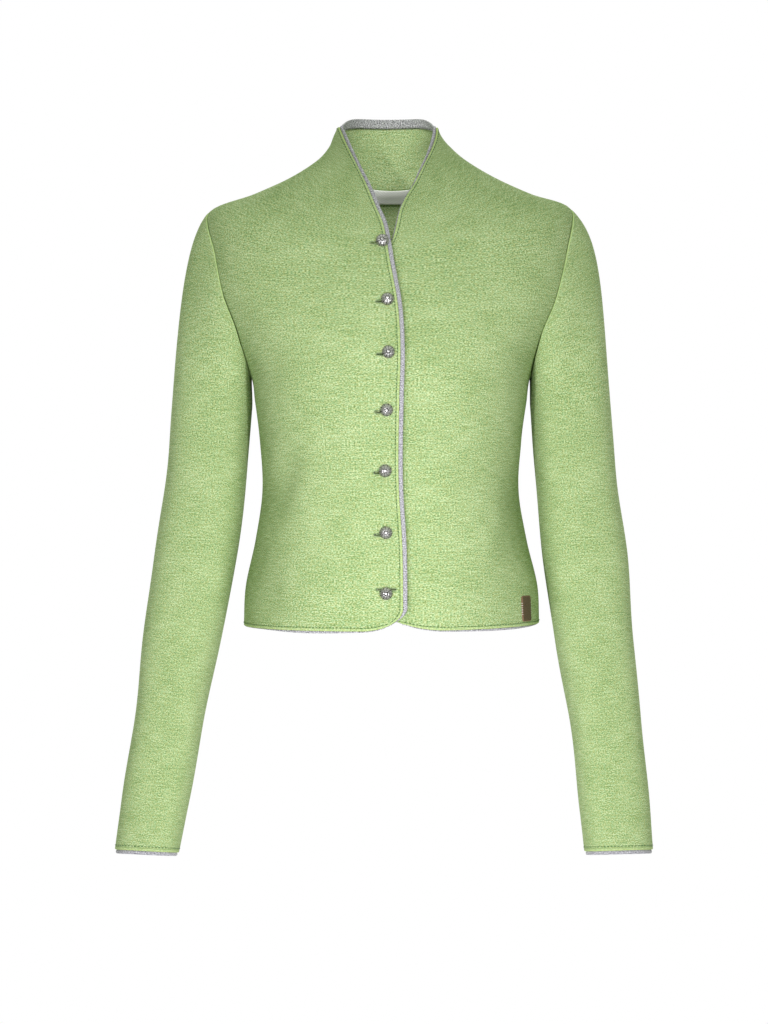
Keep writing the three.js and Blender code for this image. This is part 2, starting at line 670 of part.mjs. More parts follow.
function hemBinding() {
  // It shows most below the middle of each front and hardly at the sides
  const peep = (angle) => {
    const waves = angle > 0 ? 3 : 2;
    const share = Math.abs(angle) < Math.PI / waves ? Math.sin(waves * angle) ** 2 : 0;
    return -mix(LEAST_PEEP, PEEP, share);
  };
  return wallGeometry([roundStrip(peep, 0), ...hemHeights.map((height) => roundStrip(() => height, height))]);
}

function collarBinding() {
  const rows = [...topHeights, TOP + PEEP].map((height) => roundStrip(() => height, Math.min(TOP, height)));
  return wallGeometry(rows);
}

// The height along the rings, and the angle, of the place on a front at x and z as seen from the front
function placeOn(x, z) {
  let height = 0;
  let angle = 0;
  for (let i = 0; i < 30; i++) {
    const ring = tableAt(RINGS, RING_KNOTS, height);
    const half = ring.sideX * (1 + ring.frontFull * Math.cos(angle) ** 2);
    angle = Math.asin(THREE.MathUtils.clamp((ring.sway - x) / half, -1, 1));
    height += z - bodyPoint(height, angle).z;
  }
  return { height, angle };
}

// A button: a low dome, and a shank that goes down through the slit to the left front
function buttonGeometry(shank) {
  const foot = SEAM - LAP_DROP;
  const rim = 1.2;
  const dome = steps(0, Math.PI / 2, 5).map(
    (turn) => new THREE.Vector2(BUTTON_RADIUS * Math.cos(turn), rim + BUTTON_DOME * Math.sin(turn)),
  );
  const head = [
    new THREE.Vector2(0, SEAM),
    new THREE.Vector2(BUTTON_RADIUS - 0.5, SEAM),
    ...dome.slice(0, -1),
    new THREE.Vector2(0, rim + BUTTON_DOME),
  ];
  const stem = new THREE.CylinderGeometry(SHANK_RADIUS, SHANK_RADIUS, rim - foot, BUTTON_SIDES);
  stem.translate(0, (rim + foot) / 2, -shank);
  return joined(new THREE.LatheGeometry(head, BUTTON_SIDES), stem);
}

// The place on the right front at x and z: a frame with X to the wearer's left, Y along the cloth's
// normal and Z down the cloth
function placeFrame(x, z) {
  const { height, angle } = placeOn(x, z);
  const { outer, normal } = spot(height, angle, 1);
  const left = point(1, 0, 0).addScaledVector(normal, -normal.x).normalize();
  return new THREE.Matrix4().makeBasis(left, normal, left.clone().cross(normal)).setPosition(outer);
}

// The hole for a button: a round eye at the shank and a slit across it
function buttonholeGeometry({ x, z, shank, right, left }) {
  const depth = 12;
  const eye = new THREE.CylinderGeometry(EYE_RADIUS, EYE_RADIUS, depth, BUTTON_SIDES);
  const slit = new THREE.BoxGeometry(right + left, depth, SLIT_WIDTH).translate((left - right) / 2, 0, 0);
  return joined(eye, slit).translate(0, 0, -shank).applyMatrix4(placeFrame(x, z));
}

// A small label on the cloth, from a grid of spots: its edge is a rounded rectangle
function patchGeometry() {
  const { x, z, halfWidth, halfHeight, corner, thickness } = HEM_PATCH;
  const { height, angle } = placeOn(x, z);
  const small = 0.02;
  const around = bodyPoint(height, angle + small).distanceTo(bodyPoint(height, angle - small));
  const perRadian = around / (2 * small);
  const count = 8;
  const rows = steps(-1, 1, count).map((up) => {
    const rise = up * halfHeight;
    const past = Math.max(0, Math.abs(rise) - (halfHeight - corner));
    const width = halfWidth - corner + Math.sqrt(Math.max(0.01, corner ** 2 - past ** 2));
    return steps(-width, width, 4).map((across) =>
      layer(spot(height + rise, angle - across / perRadian, -1), -SEAM - thickness, -SEAM),
    );
  });
  return wallGeometry(rows);
}

function neckLabelGeometry() {
  const { halfWidth, height, thickness } = NECK_LABEL;
  const reach = halfWidth / (RINGS.find((ring) => ring.name === "neck").backY + 6);
  const perHeight = bodyPoint(NECK, Math.PI).distanceTo(bodyPoint(NECK - 1, Math.PI));
  const rows = steps(NECK - 1 - height / perHeight, NECK - 1, 4).map((at) =>
    steps(Math.PI - reach, Math.PI + reach, 8).map((angle) =>
      layer(spot(at, angle), CLOTH + SEAM, CLOTH + SEAM + thickness),
    ),
  );
  return wallGeometry(rows);
}

const wasm = await Module();
wasm.setup();

function solid(shape) {
  const bare = new THREE.BufferGeometry().setAttribute("position", shape.getAttribute("position"));
  if (shape.index) bare.setIndex(shape.index);
  const merged = mergeVertices(bare, 1e-4);
  const vertProperties = new Float32Array(merged.attributes.position.array);
  const triVerts = new Uint32Array(merged.index.array);
  return new wasm.Manifold(new wasm.Mesh({ numProp: 3, vertProperties, triVerts }));
}

function surface(manifold) {
  const mesh = manifold.getMesh();
  const result = new THREE.BufferGeometry();
  result.setAttribute("position", new THREE.BufferAttribute(mesh.vertProperties, 3));
  result.setIndex(new THREE.BufferAttribute(mesh.triVerts, 1));
  result.computeVertexNormals();
  return result;
}

const cut = (shape, holes) => surface(holes.reduce((left, hole) => left.subtract(solid(hole)), solid(shape)));
const joined = (one, other) => surface(solid(one).add(solid(other)));

const cardigan = new THREE.Group();
cardigan.name = "cardigan";
function add(name, geometry, material) {
  const mesh = new THREE.Mesh(geometry, material);
  mesh.name = name;
  cardigan.add(mesh);
  return mesh;
}

const buttonholes = BUTTONS.map(buttonholeGeometry);
add("front_right", cut(frontPanel(1), buttonholes), GREEN);
add("front_left", frontPanel(-1), GREEN);
add("back", backPanel(), GREEN);
add("collar", collarPanel(), GREEN);
add("sleeve_right", sleevePanel(1), GREEN);
add("sleeve_left", sleevePanel(-1), GREEN);
add("binding_front_right", cut(frontBinding(1), buttonholes.slice(0, 1)), GREY);
add("binding_front_left", frontBinding(-1), GREY);
add("binding_collar", collarBinding(), GREY);
add("binding_hem", hemBinding(), GREY);
add("binding_cuff_right", cuffBinding(1), GREY);
add("binding_cuff_left", cuffBinding(-1), GREY);
add("label_neck", neckLabelGeometry(), WHITE);
add("patch_hem", patchGeometry(), BROWN);
BUTTONS.forEach(({ x, z, shank }, i) => {
  add(`button_${i + 1}`, buttonGeometry(shank), SILVER).applyMatrix4(placeFrame(x, z));
});

export default cardigan;
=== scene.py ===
import math

import bpy
import numpy as np
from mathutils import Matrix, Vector


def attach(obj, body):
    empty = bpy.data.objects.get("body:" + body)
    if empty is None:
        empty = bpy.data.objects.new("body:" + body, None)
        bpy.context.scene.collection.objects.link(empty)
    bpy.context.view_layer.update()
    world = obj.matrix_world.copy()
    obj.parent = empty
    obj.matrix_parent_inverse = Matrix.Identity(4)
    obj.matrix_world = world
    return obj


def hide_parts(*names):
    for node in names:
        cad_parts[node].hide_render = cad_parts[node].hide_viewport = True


# A short fitted knit cardigan: one shell of cloth for each cut piece, grey strips behind the edges, buttons,
# buttonholes, stitching, a bare neck tape and a leather patch. Tables are in millimetres, meshes in metres.
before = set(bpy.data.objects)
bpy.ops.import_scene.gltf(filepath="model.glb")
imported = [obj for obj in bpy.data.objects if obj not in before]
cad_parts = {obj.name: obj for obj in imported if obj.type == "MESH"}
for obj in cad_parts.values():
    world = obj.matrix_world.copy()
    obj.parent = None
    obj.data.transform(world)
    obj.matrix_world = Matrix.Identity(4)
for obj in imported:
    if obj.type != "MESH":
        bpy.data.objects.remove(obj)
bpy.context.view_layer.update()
mm = 0.001
print("frame loaded")

cloth = {
    "thickness": 1.8,
    "seamGap": 0.12,
    "seamDip": 0.3,  # how far the panels turn down into a seam
    "seamWidth": 1.3,
    "hemZ": -437,
    "cornerRise": 22,
    "corner": {1: 40, -1: 62},  # by side: 1 is the right front, -1 the left
    "lapDrop": 4.1,  # how far the left front lies under the right one
    "lapReach": 20,
    "lapFade": 30,
    "highLap": -52,
    "armholeFront": 27,  # degrees from the side to the armhole's edge
    "armholeBack": 33,
    "collarLean": 20,
    "swellFade": 60,
}

# Rings of the body from the hem up to the collar's top
bodyRings = {
    "frontY": [-112, -113.5, -113, -113.5, -118, -122, -121, -115, -105,
               -94, -87, -81, -73, -57, -46, -41, -38],
    "frontZ": [-437, -398, -350, -300, -250, -206, -173, -143, -113, -85, -62, -45, -31, -12, 14, 40, 60],
    "frontFull": [0.14, 0.15, 0.16, 0.17, 0.2, 0.24, 0.24, 0.22, 0.17, 0.12, 0.08, 0.05, 0.03, 0.02, 0, 0, 0],
    "sideX": [147.5, 146, 135.5, 128, 130.5, 135.5, 139.5, 157.5, 177.5,
              185, 181.3, 137, 104, 76, 61, 54, 50],
    "sideY": [0, 0, 0, 0, 0, 2, 4, 5, 6, 7, 8, 8, 8, 7, 5, 3, 1],
    "sideZ": [-433.5, -398, -350, -300, -250, -212, -187, -150, -108, -63, -20.3, -3, 12, 29, 43, 54, 62.5],
    "sway": [1, 1, 0.6, 0, 0, 0.3, 0.3, -0.8, -0.6, 0.2, -0.4, 2.1, 2.1, 1.2, -0.7, -3, -2.9],
    "tilt": [1.3, 0.6, 0, 0, 0, 0, 0, 0, 0, 0, 1.5, 0, 0, 0, 0, 0, 0],
    "backY": [100, 97, 87, 80, 84, 93, 98, 100, 99, 94, 86, 78, 70, 64, 60, 55, 50],
    "backZ": [-435, -398, -350, -300, -250, -206, -172, -138, -102, -66, -36, -15, -3, 7, 30, 54, 74],
    "backFull": [0.16, 0.16, 0.16, 0.16, 0.18, 0.2, 0.2, 0.18, 0.15,
                 0.12, 0.1, 0.08, 0.06, 0.04, 0.03, 0.02, 0.12],
    "backLevel": [2] * 16 + [6],
}
underarmRing, shoulderRing, neckRing = 6, 10, 13


def ease(x):
    x = np.clip(x, 0, 1)
    return x * x * (3 - 2 * x)


def blendTo(a, b, t):
    return a + (b - a) * t


def unit(v):
    return v / np.maximum(np.linalg.norm(v, axis=-1, keepdims=True), 1e-12)


def lengths(v):
    return np.linalg.norm(v, axis=-1)


def bell(x, width):
    return np.exp(-((x / width) ** 2))


def together(*columns):
    return np.stack(np.broadcast_arrays(*columns), axis=-1)


# How far a rounded edge has fallen off at a distance from it, 1 at the edge itself
def roundOff(distance, width):
    close = 1 - np.clip(distance / width, 0, 1)
    return 1 - np.sqrt(1 - close * close)


# A curve from begin to end, which leaves and arrives along two slopes
def hermite(t, begin, end, leave, arrive):
    near, far = (1 - t) ** 2, t * t
    return begin * (1 + 2 * t) * near + end * far * (3 - 2 * t) + leave * t * near - arrive * far * (1 - t)


# A smooth curve through the rows of a table
def curveAt(knots, values, at):
    knots, values = np.asarray(knots, float), np.asarray(values, float)
    span = np.diff(knots)
    rise = np.diff(values) / span
    inner = (rise[:-1] * span[1:] + rise[1:] * span[:-1]) / (span[:-1] + span[1:])
    slope = np.concatenate([rise[:1], inner, rise[-1:]])
    i = np.clip(np.searchsorted(knots[1:-1], at, side="left"), 0, len(knots) - 2)
    t = (at - knots[i]) / span[i]
    return hermite(t, values[i], values[i + 1], span[i] * slope[i], span[i] * slope[i + 1])


def ringDistances():
    pairs = (("frontY", "frontZ"), ("sideX", "sideZ"), ("backY", "backZ"))
    runs = [np.hypot(np.diff(bodyRings[a]), np.diff(bodyRings[b])) for a, b in pairs]
    return np.concatenate([[0], np.cumsum(sum(runs) / 3)])


ringKnots = ringDistances()
underarm, shoulder, neck, top = (ringKnots[i] for i in (underarmRing, shoulderRing, neckRing, -1))


def ringAt(name, height):
    return curveAt(ringKnots, bodyRings[name], height)


# Angle 0 is the centre front, a quarter turn the wearer's right side, below 0 the left
def bodyPoint(height, angle):
    ring = {name: ringAt(name, height) for name in bodyRings}
    sin, cos = np.sin(angle), np.cos(angle)
    y, z, full = (np.where(cos > 0, ring["front" + part], ring["back" + part]) for part in ("Y", "Z", "Full"))
    level = np.where(cos > 0, 2, ring["backLevel"])
    return together(
        ring["sway"] - ring["sideX"] * sin * (1 + full * cos * cos),
        ring["sideY"] + (y - ring["sideY"]) * np.abs(cos) * (1 + full * sin * sin),
        z + (ring["sideZ"] - z) * np.abs(sin) ** level - ring["tilt"] * sin,
    )


def bodyNormal(height, angle):
    up = bodyPoint(height + 0.5, angle) - bodyPoint(height - 0.5, angle)
    around = bodyPoint(height, angle + 0.01) - bodyPoint(height, angle - 0.01)
    return unit(np.cross(up, around))


# Soft folds, pressed in: from x, z to x, z, half width, depth
frontFolds = [
    (-94, -252, -122, -345, 17, 5.2),
    (-118, -330, -138, -425, 20, 2.6),
    (116, -262, 132, -400, 18, 3.6),
    (-160, -108, -118, -178, 13, 2.6),
    (158, -122, 122, -182, 13, 1.8),
]
# Softer ones that only the cloth has; below 0 they stand up
fineFolds = {
    "front": [
        (-84, -246, -112, -330, 9, 0.9), (-128, -196, -78, -236, 10, 0.8),
        (-126, -214, -86, -262, 8, -0.6), (-140, -290, -104, -312, 9, 0.7),
        (128, -205, 84, -232, 11, 0.8), (130, -300, 104, -318, 10, 0.7),
        (96, -262, 116, -352, 11, -0.7), (-60, -60, -122, -118, 20, 0.8),
        (64, -50, 124, -112, 22, 0.7), (-40, -120, -88, -196, 26, -0.8),
        (44, -126, 92, -190, 26, -0.7), (118, -330, 120, -434, 17, 3.2),
        (104, -340, 98, -432, 13, 1.0), (120, -236, 124, -312, 13, -1.4),
        (-119, -372, -116, -436, 12, 2.0), (-122, -140, -106, -196, 11, 1.4),
        (-92, -244, -112, -306, 11, 1.2),
    ],
    "back": [
        (-104, -262, -58, -300, 13, 1.6), (106, -268, 54, -310, 13, 1.4),
        (-98, -296, -46, -322, 11, 1.1), (94, -300, 50, -334, 12, 1),
        (-126, -190, -88, -248, 13, 1.5), (126, -190, 90, -240, 13, 1.3),
        (-60, -40, 0, -120, 30, 0.8), (60, -40, 6, -128, 30, 0.7),
    ],
}


def foldDepth(folds, x, z):
    depth = np.zeros(np.broadcast(x, z).shape)
    for fromX, fromZ, toX, toZ, width, deep in folds:
        runX, runZ = toX - fromX, toZ - fromZ
        length = math.hypot(runX, runZ)
        along = np.clip(((x - fromX) * runX + (z - fromZ) * runZ) / length**2, 0, 1)
        off = ((x - fromX) * runZ - (z - fromZ) * runX) / length
        depth += deep * np.sin(np.pi * along) * bell(off, width)
    return depth


# The cloth is never quite even: a slow, small swell that fades out at its edges
def swell(x, z, shift):
    return (
        0.35 * np.sin(x * 0.043 + z * 0.021 + shift)
        + 0.3 * np.sin(x * 0.027 - z * 0.049 + 2.1 * shift)
        + 0.16 * np.sin(x * 0.091 + z * 0.067 + 0.7 * shift)
    )


# How far each front reaches past the centre at a height
frontEdges = {
    1: {
        "z": [-440, -349, -303, -211, -165, -118, -94, -76, -56, -40, -21, -8, 9, 26, 44, 56, 66],
        "reach": [12, 10.8, 7.9, 8.2, 9.3, 6.3, 2.2, -1.2, -4.3,
                  -7.6, -15, -20, -27.5, -36, -44.7, -49.6, -53.4],
    },
    -1: {
        "z": [-440, -390, -300, -110, -80, -66, -54.5, -40, -24, -12, 0.4, 18, 34, 46, 56, 66],
        "reach": [5, 13, 15, 15, 13.3, 7, -1.5, -5.8, -9.8, -15.1, -22.8, -31.4, -39.4, -44.2, -46.6, -47],
    },
}
strips = {
    "thickness": 1.2,
    "gap": 0.25,  # under the cloth
    "inside": 6.5,
    "endGap": 0.3,  # between the ends of two strips
    "collarInside": 5,
    "pipe": 4.4,  # how far it shows past the fronts' edges
    "leftPipe": 1.2,  # and past the left one, below the neck
    "leftPipeRise": 45,
    "peep": 2.5,
    "leastPeep": 0.8,
    "cuffPeep": 3.8,
    "roll": 0.8,  # how far its fold stands up beside the cloth's edge
}
# The lapping edge presses a shallow crease into the left front just past its strip
crease = {"depth": 2.8, "past": 1.2, "width": 2.0}


def edgeReach(side, z):
    return curveAt(frontEdges[side]["z"], frontEdges[side]["reach"], z)


def besideStrip(x, z):
    edge = edgeReach(1, z) + strips["pipe"]
    return crease["depth"] * bell(x - edge - crease["past"], crease["width"])


def cornerShare(side, reach):
    corner = cloth["corner"][side]
    into = np.clip((reach - frontEdges[side]["reach"][0] + corner) / corner, 0, 1)
    return np.clip((1 - np.sqrt(1 - into * into)) / (1 - math.sqrt(0.5)), 0, 1)


# The front edge at a height: its reach past the centre, and how far the hem corner lifts the cloth there
def edgeAt(side, z):
    low = np.clip((z - cloth["hemZ"]) / cloth["cornerRise"], 0, 1)
    turn = math.pi / 4 * (1 + low)
    lift = cloth["cornerRise"] * (1 - np.cos(turn) - low)
    return edgeReach(side, z) - cloth["corner"][side] * (1 - np.sin(turn)), lift


def edgeAngle(height, side):
    low = np.full(np.shape(height), -0.3)
    high = np.full(np.shape(height), math.pi / 2)
    for _ in range(40):
        middle = (low + high) / 2
        at = bodyPoint(height, side * middle)
        past = side * at[..., 0] < edgeAt(side, at[..., 2])[0]
        high = np.where(past, middle, high)
        low = np.where(past, low, middle)
    return side * low


# A spot on the cloth: its outer point and its normal. Side is 1 for the right front, -1 for the left
# and 0 behind. The lift is that of the hem corner. The armholes follow the form without its fine folds.
def spot(height, angle, side=0, lift=0.0, fine=True):
    normal = bodyNormal(height, angle)
    outer = bodyPoint(height, angle)
    x, z = outer[..., 0], outer[..., 2]
    press = np.zeros(x.shape)
    fromSide = ease(np.abs(np.abs(angle) - math.pi / 2) / 0.3)
    if side:
        folds = frontFolds + (fineFolds["front"] if fine else [])
        press = foldDepth(folds, x, z) * ease((math.pi / 2 - np.abs(angle)) / 0.25)
        outer = outer.copy()
        outer[..., 2] += lift * cornerShare(side, side * x)
    elif fine:
        press = foldDepth(fineFolds["back"], x, z) * fromSide
    if fine:
        fade = cloth["swellFade"]
        beside = ease(np.abs(x) / 40 - (0.4 if side else -1))
        inward = ease(height / fade) * ease((neck - height) / fade) * beside
        press = press + swell(x, z, 1.7 + side) * inward * fromSide
    if side < 0:
        across = 1 - ease((outer[..., 0] - cloth["lapReach"]) / cloth["lapFade"])
        down = 1 - ease((outer[..., 2] - cloth["highLap"]) / cloth["lapFade"])
        press = press + cloth["lapDrop"] * across * down
        if fine:
            press = press + besideStrip(outer[..., 0], outer[..., 2]) * down
    return outer - normal * press[..., None], normal


def armholeWidth(height, degrees):
    turn = np.arccos(np.clip(1 - 2 * (height - underarm) / (shoulder - underarm), -1, 1))
    return math.radians(degrees) * np.sin(turn)


def armholeHeight(turn):
    return blendTo(underarm, shoulder, (1 - np.cos(turn)) / 2)


def seamAngle(height):
    return math.pi / 2 + math.radians(cloth["collarLean"]) * ease((height - neck) / (top - neck))


def halfSeam(height):
    depth = (ringAt("backY", height) - ringAt("frontY", height)) / 2
    return 0.6 * cloth["seamGap"] / np.maximum(20, depth)


def perRadian(height, angle):
    return lengths(bodyPoint(height, angle + 0.02) - bodyPoint(height, angle - 0.02)) / 0.04


# How much longer the way to a near row is along an edge than straight up
def slantOf(level, angle, near, nearAngle, least):
    here = bodyPoint(level, angle)
    slanted, straight = bodyPoint(near, nearAngle) - here, bodyPoint(near, angle) - here
    return lengths(slanted) / np.maximum(least, lengths(straight))


# Where a front's rows start and end, and how many radians a millimetre across its edge takes
def frontRows(heights, side):
    level = np.clip(heights, 0, top)
    start = edgeAngle(level, side)
    end = side * (seamAngle(level) - armholeWidth(level, cloth["armholeFront"]) - halfSeam(level))
    lift = edgeAt(side, bodyPoint(level, start)[..., 2])[1]
    near = level + np.where(level > top / 2, -2, 2)
    slant = np.minimum(1.25, slantOf(level, start, near, edgeAngle(near, side), 0.1))
    return {"start": start, "end": end, "lift": lift, "step": side * slant / perRadian(level, start)}


frontColumns, backColumns, hemColumns, collarColumns = 38, 84, 260, 330
# Distances from a rounded edge and from a seam where the cloth has rows or columns
edgeSteps = np.array([0, 0.3, 0.7, 1.3, 2.2, 3.4, 4.2, 4.7, 5.2, 6, 7.5])
seamSteps = np.array([0, 0.3, 0.8, 1.6, 2.8, 4.5])
lapSteps = np.concatenate([edgeSteps, [9.5, 11.5, 13.5, 15], 16.5 + 1.4 * np.arange(15)])


# Distances along something of a length, fine near its two ends
def spaced(length, first, last, pitch):
    count = max(2, round((length - first[-1] - last[-1]) / pitch))
    middle = np.linspace(first[-1], length - last[-1], count + 1)[1:-1]
    return np.concatenate([first, middle, length - last[::-1]])


def pastNeck():
    return spaced(top - neck, seamSteps, edgeSteps, 4)


bodyHeights = np.concatenate([
    edgeSteps,
    np.linspace(edgeSteps[-1], cloth["cornerRise"], 7)[1:],
    np.linspace(cloth["cornerRise"], underarm, 58)[1:],
    armholeHeight(np.linspace(0, math.pi, 45))[1:],
    np.linspace(shoulder, neck, 18)[1:],
    neck + pastNeck()[1:],
])


# Turns rows of distances from both ends of a row into angles
def columnsBetween(start, end, stepIn, stepOut, first, last, count):
    left = start[:, None] + stepIn[:, None] * first
    right = end[:, None] - stepOut[:, None] * last[::-1]
    share = np.linspace(0, 1, count + 1)[1:-1]
    middle = left[:, -1:] + (right[:, :1] - left[:, -1:]) * share
    angles = np.concatenate([left, middle, right], axis=1)
    fromStart = np.abs((angles - start[:, None]) / stepIn[:, None])
    return angles, fromStart, np.abs((end[:, None] - angles) / stepOut[:, None])


def seamDip(fromSeam):
    return cloth["seamDip"] * bell(fromSeam, cloth["seamWidth"])


# How deep the outer and the inner face of the cloth lie, with its edges rounded and its seams turned down
def clothDepths(fromEdge, fromSeam):
    thickness = cloth["thickness"]
    rounding = thickness * (0.42 * roundOff(fromEdge, thickness / 2) + 0.16 * roundOff(fromSeam, 0.5))
    dip = seamDip(fromSeam)
    return rounding + dip, thickness - rounding + dip


def newObject(name, points, faces, material):
    mesh = bpy.data.meshes.new(name)
    mesh.from_pydata(points.reshape(-1, 3) * mm, [], faces)
    mesh.materials.append(material)
    mesh.shade_smooth()
    made = bpy.data.objects.new(name, mesh)
    bpy.context.scene.collection.objects.link(made)
    return made


def gridFaces(rows, columns, closed, flip):
    r = np.arange(rows - 1)[:, None] * columns
    c = np.arange(columns if closed else columns - 1)[None]
    after = (c + 1) % columns
    quads = together(r + c, r + after, r + columns + after, r + columns + c).reshape(-1, 4)
    return quads[:, ::-1] if flip else quads


# A closed wall from a grid of spots. "marks" are numbers on its points that the finish reads.
def wall(name, outer, normal, depths, flat, material, marks=None, closed=False):
    rows, columns = outer.shape[:2]
    count = rows * columns
    faceSpots = [(outer - normal * depth[..., None]).reshape(-1, 3) for depth in depths]
    i, j = rows // 2, columns // 2
    facing = np.cross(outer[i, j] - outer[i, j - 1], outer[i, j] - outer[i - 1, j])
    flip = np.dot(facing, normal[i, j]) < 0
    faces = [gridFaces(rows, columns, closed, flip), gridFaces(rows, columns, closed, not flip) + count]
    rims = [np.arange(columns), np.arange(columns) + (rows - 1) * columns]
    if not closed:
        rims += [np.arange(rows) * columns, np.arange(rows) * columns + columns - 1]
    for which, rim in enumerate(rims):
        ahead = np.roll(rim, -1) if closed else rim[1:]
        rim = rim if closed else rim[:-1]
        side = together(rim, rim + count, ahead + count, ahead)
        faces.append(side if (which in (0, 3)) != flip else side[:, ::-1])
    made = newObject(name, np.concatenate(faceSpots), np.concatenate(faces).tolist(), material)
    mesh = made.data
    loops = np.empty(len(mesh.loops), int)
    mesh.loops.foreach_get("vertex_index", loops)
    both = np.concatenate([flat.reshape(-1, 2)] * 2) * mm
    mesh.uv_layers.new(name="knit").data.foreach_set("uv", both[loops].ravel())
    for mark, values in (marks or {}).items():
        spread = np.tile(np.broadcast_to(values, (rows, columns)).ravel(), 2).astype(np.float32)
        mesh.attributes.new(mark, "FLOAT", "POINT").data.foreach_set("value", spread)
    return made


def sumNode(operation, swapped=False):
    def made(self, other):
        first, second = (other, self) if swapped else (self, other)
        return self.finish.node("ShaderNodeMath", {"operation": operation}, {0: first, 1: second})

    return made


# A shader node's output. Sums with it add nodes that work them out.
class Wire:
    def __init__(self, finish, socket):
        self.finish = finish
        self.socket = socket

    __add__, __radd__ = sumNode("ADD"), sumNode("ADD", True)
    __sub__, __rsub__ = sumNode("SUBTRACT"), sumNode("SUBTRACT", True)
    __mul__, __rmul__ = sumNode("MULTIPLY"), sumNode("MULTIPLY", True)


class Nodes:
    def __init__(self, tree):
        self.tree = tree

    def put(self, socket, value):
        if isinstance(value, Wire):
            self.tree.links.new(value.socket, socket)
        elif isinstance(value, tuple) and len(value) == 3 and socket.type == "RGBA":
            socket.default_value = (*value, 1)
        else:
            socket.default_value = value

    def node(self, kind, settings, inputs, output=0):
        made = self.tree.nodes.new(kind)
        for name, value in settings.items():
            setattr(made, name, value)
        for name, value in inputs.items():
            self.put(made.inputs[name], value)
        return Wire(self, made.outputs[output])

    def step(self, value, low, high, first=0.0, last=1.0):
        return self.node(
            "ShaderNodeMapRange", {"interpolation_type": "SMOOTHSTEP"},
            {"Value": value, "From Min": low, "From Max": high, "To Min": first, "To Max": last},
        )

    def blend(self, factor, first, second):
        made = self.tree.nodes.new("ShaderNodeMix")
        made.data_type = "RGBA"
        for index, value in ((0, factor), (6, first), (7, second)):
            self.put(made.inputs[index], value)
        return Wire(self, made.outputs[2])

    def change(self, value, low, high, first, second, start=0.0, end=1.0):
        return self.blend(self.step(value, low, high, start, end), first, second)


class Finish(Nodes):
    def __init__(self, name, **constants):
        self.material = bpy.data.materials.new(name)
        self.material.use_nodes = True
        super().__init__(self.material.node_tree)
        self.shader = self.tree.nodes["Principled BSDF"]
        for socket, value in constants.items():
            self.put(self.shader.inputs[socket.replace("_", " ")], value)

    def feed(self, socket, value):
        self.put(self.shader.inputs[socket], value)

    def mark(self, name):
        return self.node("ShaderNodeAttribute", {"attribute_name": name}, {}, "Fac")

    def flat(self, across, along):
        uv = self.node("ShaderNodeUVMap", {"uv_map": "knit"}, {})
        return self.node("ShaderNodeVectorMath", {"operation": "MULTIPLY"}, {0: uv, 1: (across, along, 1)})

    def place(self):
        return self.node("ShaderNodeTexCoord", {}, {}, "Object")

    def noise(self, vector, detail=2.0, roughness=0.55, scale=1.0):
        inputs = {"Vector": vector, "Scale": scale, "Detail": detail, "Roughness": roughness}
        return self.node("ShaderNodeTexNoise", {}, inputs)

    # Bands, about half as many to the metre as the numbers given
    def stripes(self, across, along, direction, distortion):
        vector = self.flat(across / 6.283, along / 6.283)
        inputs = {"Vector": vector, "Scale": 1.0, "Detail": 1.0, "Detail Scale": 1.5}
        inputs["Distortion"] = distortion
        return self.node("ShaderNodeTexWave", {"bands_direction": direction}, inputs, "Fac")

    def bump(self, height, distance, strength):
        inputs = {"Height": height, "Distance": distance, "Strength": strength}
        self.feed("Normal", self.node("ShaderNodeBump", {}, inputs))


clothLook = {
    "dark": (0.175, 0.285, 0.095),
    "cool": (0.352, 0.530, 0.255),
    "warm": (0.450, 0.520, 0.215),
    "light": (0.680, 0.780, 0.480),
    "cutEdge": (0.60, 0.77, 0.22),
    # painted highlight: a pale band between the cut edge and the stitch line, where a ridge of cloth would
    # catch the light
    "paintedWeltHighlight": (0.70, 0.84, 0.40),
    # painted highlight on the sleeve's lip at the armhole seam
    "paintedSeamHighlight": (0.60, 0.78, 0.33),
    # painted shade in the dip of a seam on the body, and in the groove along the stitch line
    "paintedGrooveShade": (0.16, 0.28, 0.07),
    "contrast": 4.0,
    "gloss": 0.06,
}


